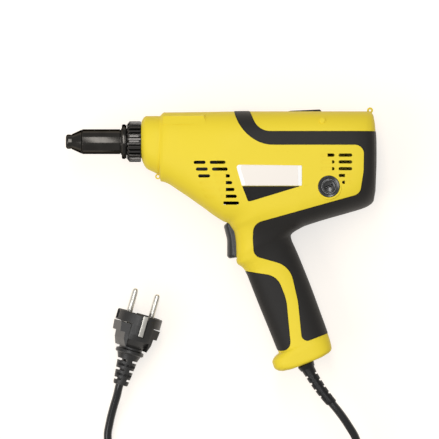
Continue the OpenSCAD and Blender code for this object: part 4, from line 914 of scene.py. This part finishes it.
def relief_slots(starts, width, inner, outer, web):
    """The slots across a bend relief along X, cut in from outside nearly to the cord. Every other
    one leaves its two webs at the sides, the rest leave them above and below."""
    slots = []
    for k, start in enumerate(starts):
        end = start + width
        section = [[start, inner], [start, outer], [end, outer], [end, inner]]
        ring = turned_piece("slot", section, count=64)
        y, z = (20, web) if k % 2 else (web, 20)
        slots.append(cut(ring, box("web", (start - 1, -y, -z), (end + 1, y, z))))
    return joined(slots)


def guard_bend(along):
    """How far the guard's axis has bent aside: by the square of the distance below the foot"""
    return GUARD_BEND * (np.maximum(along, 0) / GUARD_LEN) ** 2


def at_guard(made):
    """Lays a solid drawn along X into the foot, down the guard's bent axis"""
    p = vertex_array(made.data)
    aside = p[:, 1:2] + guard_bend(p[:, :1])
    flat = GUARD_ROOT + p[:, :1] * GUARD_DOWN + aside * GUARD_ACROSS
    return move_points(made, np.hstack([flat, p[:, 2:]]))


guard_root = soft_profile([
    [-14, BORE_R], [-14, 5.4], [-6.6, 5.4], [-6.4, 5.95], [0.5, 5.95], [0.9, 6.6], [1.8, 6.9],
    [7, 5.5]], 0.35)[2:]
guard_line = [[s, 4.9 - 0.6 * (s - 10) / 26] for s in np.linspace(10, 36, 14)]
# The bore has rows all the way, a hair wider and narrower by turns, so that it bends with the guard
guard_bore = [[s, BORE_R + 0.03 * (k % 2)] for k, s in enumerate(np.linspace(GUARD_LEN, -14, 28))]
guard = turned_piece(
    "cord_guard_sleeve", np.vstack([
        guard_root, guard_line, [[37.6, 4.3], [GUARD_LEN, 3.9]], guard_bore]), count=64)
cut(guard, relief_slots([10.5 + 3.1 * k for k in range(8)], 1.5, 3.45, 9, 1.3))
finish_piece(smooth_faces(at_guard(guard)), guard_rubber, "black_rubber", "cord_guard")

# The cord: round rubber cable, 6.5 mm thick. It leaves the guard, drops to the table, is wound into
# a tied coil of three layers and runs back to the plug. Its heights are over the table.
cord_rubber = moulded_plastic("cord_rubber", (12, 12, 12), 0.25, 0.6, 900, 0.00005, 0.06)
COIL_MIDDLE = np.array([150, -300])
COIL_R = 35.5
COIL_TURNS = 7.5
LAYER_STEP = 5.7
LEAD_ALONG_GUARD = np.array([-24, -10, 0, 8, 16, 24, 32, GUARD_LEN])
LEAD_POINTS = [
    [158, -216.8, 35.1], [165.2, -227.2, 33.4], [171.6, -238.6, 30], [174.5, -252, 24.4],
    [180.5, -268, 18.3], [184.5, -284, 15]]
TAIL_POINTS = [
    [107, -284, 3.25], [101, -269, 3.25], [88, -260, 3.25], [70, -258, 3.25], [52, -260, 3.25],
    [34, -263, 3.25], [16, -265, 3.25], [-2, -264, 3.25], [-15, -260, 3.25], [-25, -250, 3.3],
    [-28, -238, 4], [-26.4, -226, 6.8], [-23.3, -213.5, 11.2], [-20.2, -203, 15.2]]
PLUG_FACE = np.array([-1.5, -138.2, 18.5])
PLUG_DIR = np.array([cos(radians(74.1)), sin(radians(74.1)), 0])
BOOT_END = 59


def coil_points(per_turn):
    """The cord's way round the coil. Each turn keeps to one of three columns, a cord apart, and
    moves over to the next in a fifth of a turn, and so from layer to layer. The top layer holds a
    turn and a half, the two under it three each."""
    turn = np.arange(0, COIL_TURNS * per_turn + 1) / per_turn
    moves = [(0.8, 1, 0), (2.3, -1, 0), (3.3, -1, 0), (5.3, 1, 0), (6.3, 1, 0), (1.45, 0, -1),
             (4.45, 0, -1)]
    column = np.zeros_like(turn)
    layer = np.full_like(turn, 2)
    for start, over, down in moves:
        t = np.clip((turn - start) / 0.2, 0, 1)
        part = t * t * (3 - 2 * t)
        column += over * part
        layer += down * part
    radius = COIL_R + 2 * CORD_R * column
    angle = -2 * pi * turn
    flat = COIL_MIDDLE + radius[:, None] * np.column_stack([np.cos(angle), np.sin(angle)])
    return np.column_stack([flat, CORD_R + LAYER_STEP * layer])


lead = (GUARD_ROOT + LEAD_ALONG_GUARD[:, None] * GUARD_DOWN
        + guard_bend(LEAD_ALONG_GUARD)[:, None] * GUARD_ACROSS)
lead = np.vstack([np.insert(lead, 2, HALF_SIDE, axis=1), LEAD_POINTS])
plug_end = [PLUG_FACE - (BOOT_END + 1) * PLUG_DIR - [0.6, 0, 0.7], PLUG_FACE - (BOOT_END - 8) * PLUG_DIR]
route = np.vstack([lead, coil_points(16), TAIL_POINTS, plug_end]) - [0, 0, HALF_SIDE]
cord_line = bpy.data.curves.new("mains_cord", "CURVE")
cord_line.dimensions = "3D"
cord_line.resolution_u = 4
cord_line.bevel_depth = CORD_R / 1000
cord_line.bevel_resolution = 5
cord_line.use_fill_caps = True
run = cord_line.splines.new("BEZIER")
run.bezier_points.add(len(route) - 1)
run.bezier_points.foreach_set("co", row_frame(route).ravel())
for point in run.bezier_points:
    point.handle_left_type = "AUTO"
    point.handle_right_type = "AUTO"
mains_cord = bpy.data.objects.new("mains_cord", cord_line)
scene.collection.objects.link(mains_cord)
finish_piece(mains_cord, cord_rubber, "cord_rubber", "cord_lead", "cord_coil", "cord_tail")

# The tie: a black strap of woven hook-and-loop tape. It goes once round the coil's turns, on the
# coil's far side, and keeps the spare cord together.
tie_tape = moulded_plastic("tie_tape", (36, 36, 38), 0.8, 0.2, 700, 0.00025, 0.1)
tie_loop = rounded([[25.4, 0.25, 0.1], [45.6, 0.25, 0.1], [45.6, 18.1, 3.4], [25.4, 18.1, 3.4]], 12)
tape_section = rounded([[-5.4, 0, 0.25], [5.4, 0, 0.25], [5.4, 0.9, 0.3], [-5.4, 0.9, 0.3]], 4)
outward = inset(tie_loop, -1) - tie_loop
reach = tie_loop[:, None, :] + outward[:, None, :] * tape_section[None, :, 1:2]
reach[..., 1] = np.maximum(reach[..., 1], 0.02)
TIE_SWING = radians(270)
out_dir = np.array([cos(TIE_SWING), sin(TIE_SWING)])
side_dir = np.array([-out_dir[1], out_dir[0]])
tie_points = np.concatenate([
    COIL_MIDDLE + reach[..., :1] * out_dir + tape_section[None, :, :1] * side_dir,
    reach[..., 1:] - HALF_SIDE], -1)
tie = solid("coil_strap", tie_points, loop_faces(*tie_points.shape[:2]))
finish_piece(smooth_faces(tie), tie_tape, "cord_rubber", "coil_tie")

# The plug: a moulded black earthed plug with two round pins, earth strips at its edges, finger
# recesses and a slotted boot. It lies on the table, rolled a little onto one side.
plug_black = moulded_plastic("plug_black", (38, 37, 36), 0.4, 0.5, 1500, 0.00006, 0.05)
PLUG_ROLL = radians(18)
PLUG_R = 18.5
PIN_ASIDE = 9.5


def at_plug(made):
    """Rolls a solid drawn round the plug's own axis, with its pins along X, and lays it in place"""
    p = vertex_array(made.data)
    y = p[:, 1] * cos(PLUG_ROLL) - p[:, 2] * sin(PLUG_ROLL)
    z = p[:, 1] * sin(PLUG_ROLL) + p[:, 2] * cos(PLUG_ROLL)
    across = np.array([-PLUG_DIR[1], PLUG_DIR[0]])
    flat = PLUG_FACE[:2] + p[:, :1] * PLUG_DIR[:2] + y[:, None] * across
    return move_points(made, np.column_stack([flat, z + PLUG_FACE[2] - HALF_SIDE]))


plug_head = soft_profile([
    [0, 0.02], [0, 17.8], [-0.8, PLUG_R], [-9, PLUG_R], [-17, 18.1], [-21, 17], [-25.5, 12.8],
    [-28, 9.4], [-29.6, 9.4], [-30.2, 11.3], [-32.6, 11.6], [-33.8, 10]], 0.5)[4:]
boot_line = [[x, 8.2 + 2.1 * (x + 37.5) / 20] for x in np.linspace(-37.5, -57.5, 12)]
boot_mouth = [
    [-BOOT_END + 0.4, 5.8], [-BOOT_END, 5.2], [-BOOT_END, CORD_R + 0.1],
    [-BOOT_END + 8, CORD_R + 0.1], [-BOOT_END + 8, 0.02]]
plug = turned_piece("plug_moulding", np.vstack([plug_head, boot_line, boot_mouth]))


def finger_block(side, x0, x1, first, second):
    """A block on one side of the plug, with a sloped top and bottom: first and second are how far
    out it stands at its two ends"""
    root, tall, slope = 9, 14.4, 0.55
    rings = np.array([
        [[x, root, -tall], [x, out, slope * (out - root) - tall], [x, out, tall - slope * (out - root)],
         [x, root, tall]]
        for x, out in ((x0, first), (x1, second))])
    return tube("finger_block", rings * [1, side, 1])


# From end to end of each block, and how far out it stands there
FINGER_BLOCKS = [(-17, -9.4, 15.8, 16.8), (-22.6, -16.8, 11.8, 12.4), (-28.2, -22.4, 9.2, 11.8)]
for side in (-1, 1):
    near, far = to_side(side, 9.3, 26)
    cut(plug, box("finger_recess", (-29.8, near, -24), (-8.6, far, 24)))
    for block in FINGER_BLOCKS:
        merge(plug, finger_block(side, *block))
    near, far = to_side(side, 15.6, 20)
    low, high = to_side(side, PLUG_R - 2.2, PLUG_R + 2)
    cut(plug,
        box("guide_notch", (-7.5, near, -2.7), (2, far, 2.7)),
        box("strip_seat", (-18, -2.6, low), (2, 2.6, high)),
        round_bar("pin_seat", -12, 2, 2.12, (0, side * PIN_ASIDE, 0)))
cut(plug, relief_slots([-55.4 + 3.9 * k for k in range(5)], 1.8, 4, 12, 2.2))
finish_piece(smooth_faces(at_plug(plug), 30), plug_black, "black_plastic", "plug_body")


def bare_metal(name, colour, roughness, stretch):
    """Bare metal: fine scratches drawn out along one direction, in the gloss and in the relief"""
    scratches = ("Noise", stretch, {"Scale": 1, "Detail": 5})
    return patterned_finish(
        name, shades(colour, 0.86, 1.08), (0, 1), scratches, scratches,
        (roughness - 0.1, roughness + 0.12), (0.05, 0.00002), Metallic=1)


nickel = bare_metal("nickelled_brass", (225, 222, 214), 0.3, (60, 300, 300))
PIN = [
    [-11.9, 0.02], [-11.9, 2.1], [0.02, 2.1], [0.02, 2.4], [0.4, 2.45], [14.5, 2.4], [17.2, 2.25],
    [18.2, 1.9], [18.8, 1.2], [19, 0.5], [19, 0.02]]
pins = joined([
    turned_piece("pin", PIN, (0, side * PIN_ASIDE, 0), count=40) for side in (-1, 1)])
pins.name = "round_plug_pins"
finish_piece(smooth_faces(at_plug(pins)), nickel, "nickelled_brass", "plug_pins")
STRIP = rounded([[-17.5, -2, 0.5], [-0.6, -2, 0.3], [-0.6, 2, 0.3], [-17.5, 2, 0.5]])
strips = joined([
    raised("strip", STRIP, [
        (side * (PLUG_R - 2.15), 0), (side * (PLUG_R - 1.5), 0), (side * (PLUG_R - 1.35), 0.25)])
    for side in (-1, 1)])
strips.name = "earth_contact_strips"
finish_piece(smooth_faces(at_plug(strips)), nickel, "nickelled_brass", "plug_earth_strips")

# The working parts inside stay as the CAD model made them. Each takes the finish of its own metal,
# wire or board, which shows through the vents and when a half is lifted off.


def dress(material, *nodes):
    """Gives CAD nodes a material in place of their plain one"""
    for node in nodes:
        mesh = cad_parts[node].data
        mesh.materials.clear()
        mesh.materials.append(material)


def banded(name, first, second, roughness, metal, bands, waver):
    """Thin bands stacked along the motor's axis, as of pressed laminations or of wound wire: a
    wave along X picks between two colours and raises each band"""
    wave = ("Wave", EVEN, {"Scale": bands, "Distortion": waver})
    return patterned_finish(
        name, (linear(*first), linear(*second)), (0, 1), wave, wave, None, (0.4, 0.0001),
        Metallic=metal, Roughness=roughness)


# Screws and clamp, in blackened and in plain steel
screw_black = blackened_steel("screw_black", (96, 94, 91), 0.35, 1200)
spring_steel = bare_metal("spring_steel", (150, 150, 152), 0.3, (900, 900, 120))
dress(screw_black, "housing_screws", "gearbox_screws", "clamp_screws")
dress(spring_steel, "jaw_spring", "brush_springs", "trigger_spring", "cable_clamp")

# The draw: case, jaws, pusher, screw and its guide, ground bright, with the jaws left dark
ground_steel = bare_metal("ground_steel", (176, 174, 170), 0.25, (3000, 60, 60))
hard_steel = bare_metal("hard_steel", (96, 94, 92), 0.4, (600, 200, 200))
dress(ground_steel, "jaw_case", "draw_screw", "jaw_pusher", "guide_frame")
dress(hard_steel, "jaws")

# The gear train: steel gears and shafts in die-cast covers, with bronze bushes
cut_steel = bare_metal("cut_steel", (158, 156, 152), 0.35, (1500, 150, 150))
bronze = bare_metal("oiled_bronze", (158, 118, 66), 0.4, (900, 200, 200))
cast_alloy = bare_metal("cast_alloy", (96, 96, 98), 0.6, (500, 500, 500))
dress(cut_steel, "spindle_nut", "nut_gear", "nut_bearings", "idler_shaft", "idler_gear",
      "armature_shaft", "motor_bearings")
dress(bronze, "idler_bushes", "brush_holders")
dress(cast_alloy, "gearbox_case", "bearing_plate", "gearbox_cover")

# The motor: pressed laminations, lacquered copper wire, a copper commutator and a black fan
core_iron = banded("pressed_laminations", (52, 50, 49), (84, 82, 80), 0.55, 0.6, 320, 0)
wound_wire = banded("lacquered_wire", (120, 58, 26), (190, 106, 54), 0.35, 0.7, 230, 2)
copper_bars = bare_metal("copper_bars", (196, 118, 74), 0.3, (200, 1200, 1200))
pressed_carbon = moulded_plastic("pressed_carbon", (30, 30, 31), 0.6, 0.3, 2500, 0.00008, 0.2)
dress(core_iron, "armature_core", "field_core")
dress(wound_wire, "armature_windings", "field_coils")
dress(copper_bars, "commutator")
dress(pressed_carbon, "carbon_brushes")
dress(black_plastic, "cooling_fan")

# The switches and the board: black mouldings, and green lacquered glass fibre
board_green = moulded_plastic("board_green", (30, 84, 52), 0.3, 0.5, 400, 0.00006, 0.35)
switch_black = moulded_plastic("switch_black", (34, 34, 36), 0.45, 0.4, 2000, 0.00004, 0.05)
dress(board_green, "control_board")
dress(switch_black, "guide_block", "limit_switches", "trigger_switch", "reverse_switch")
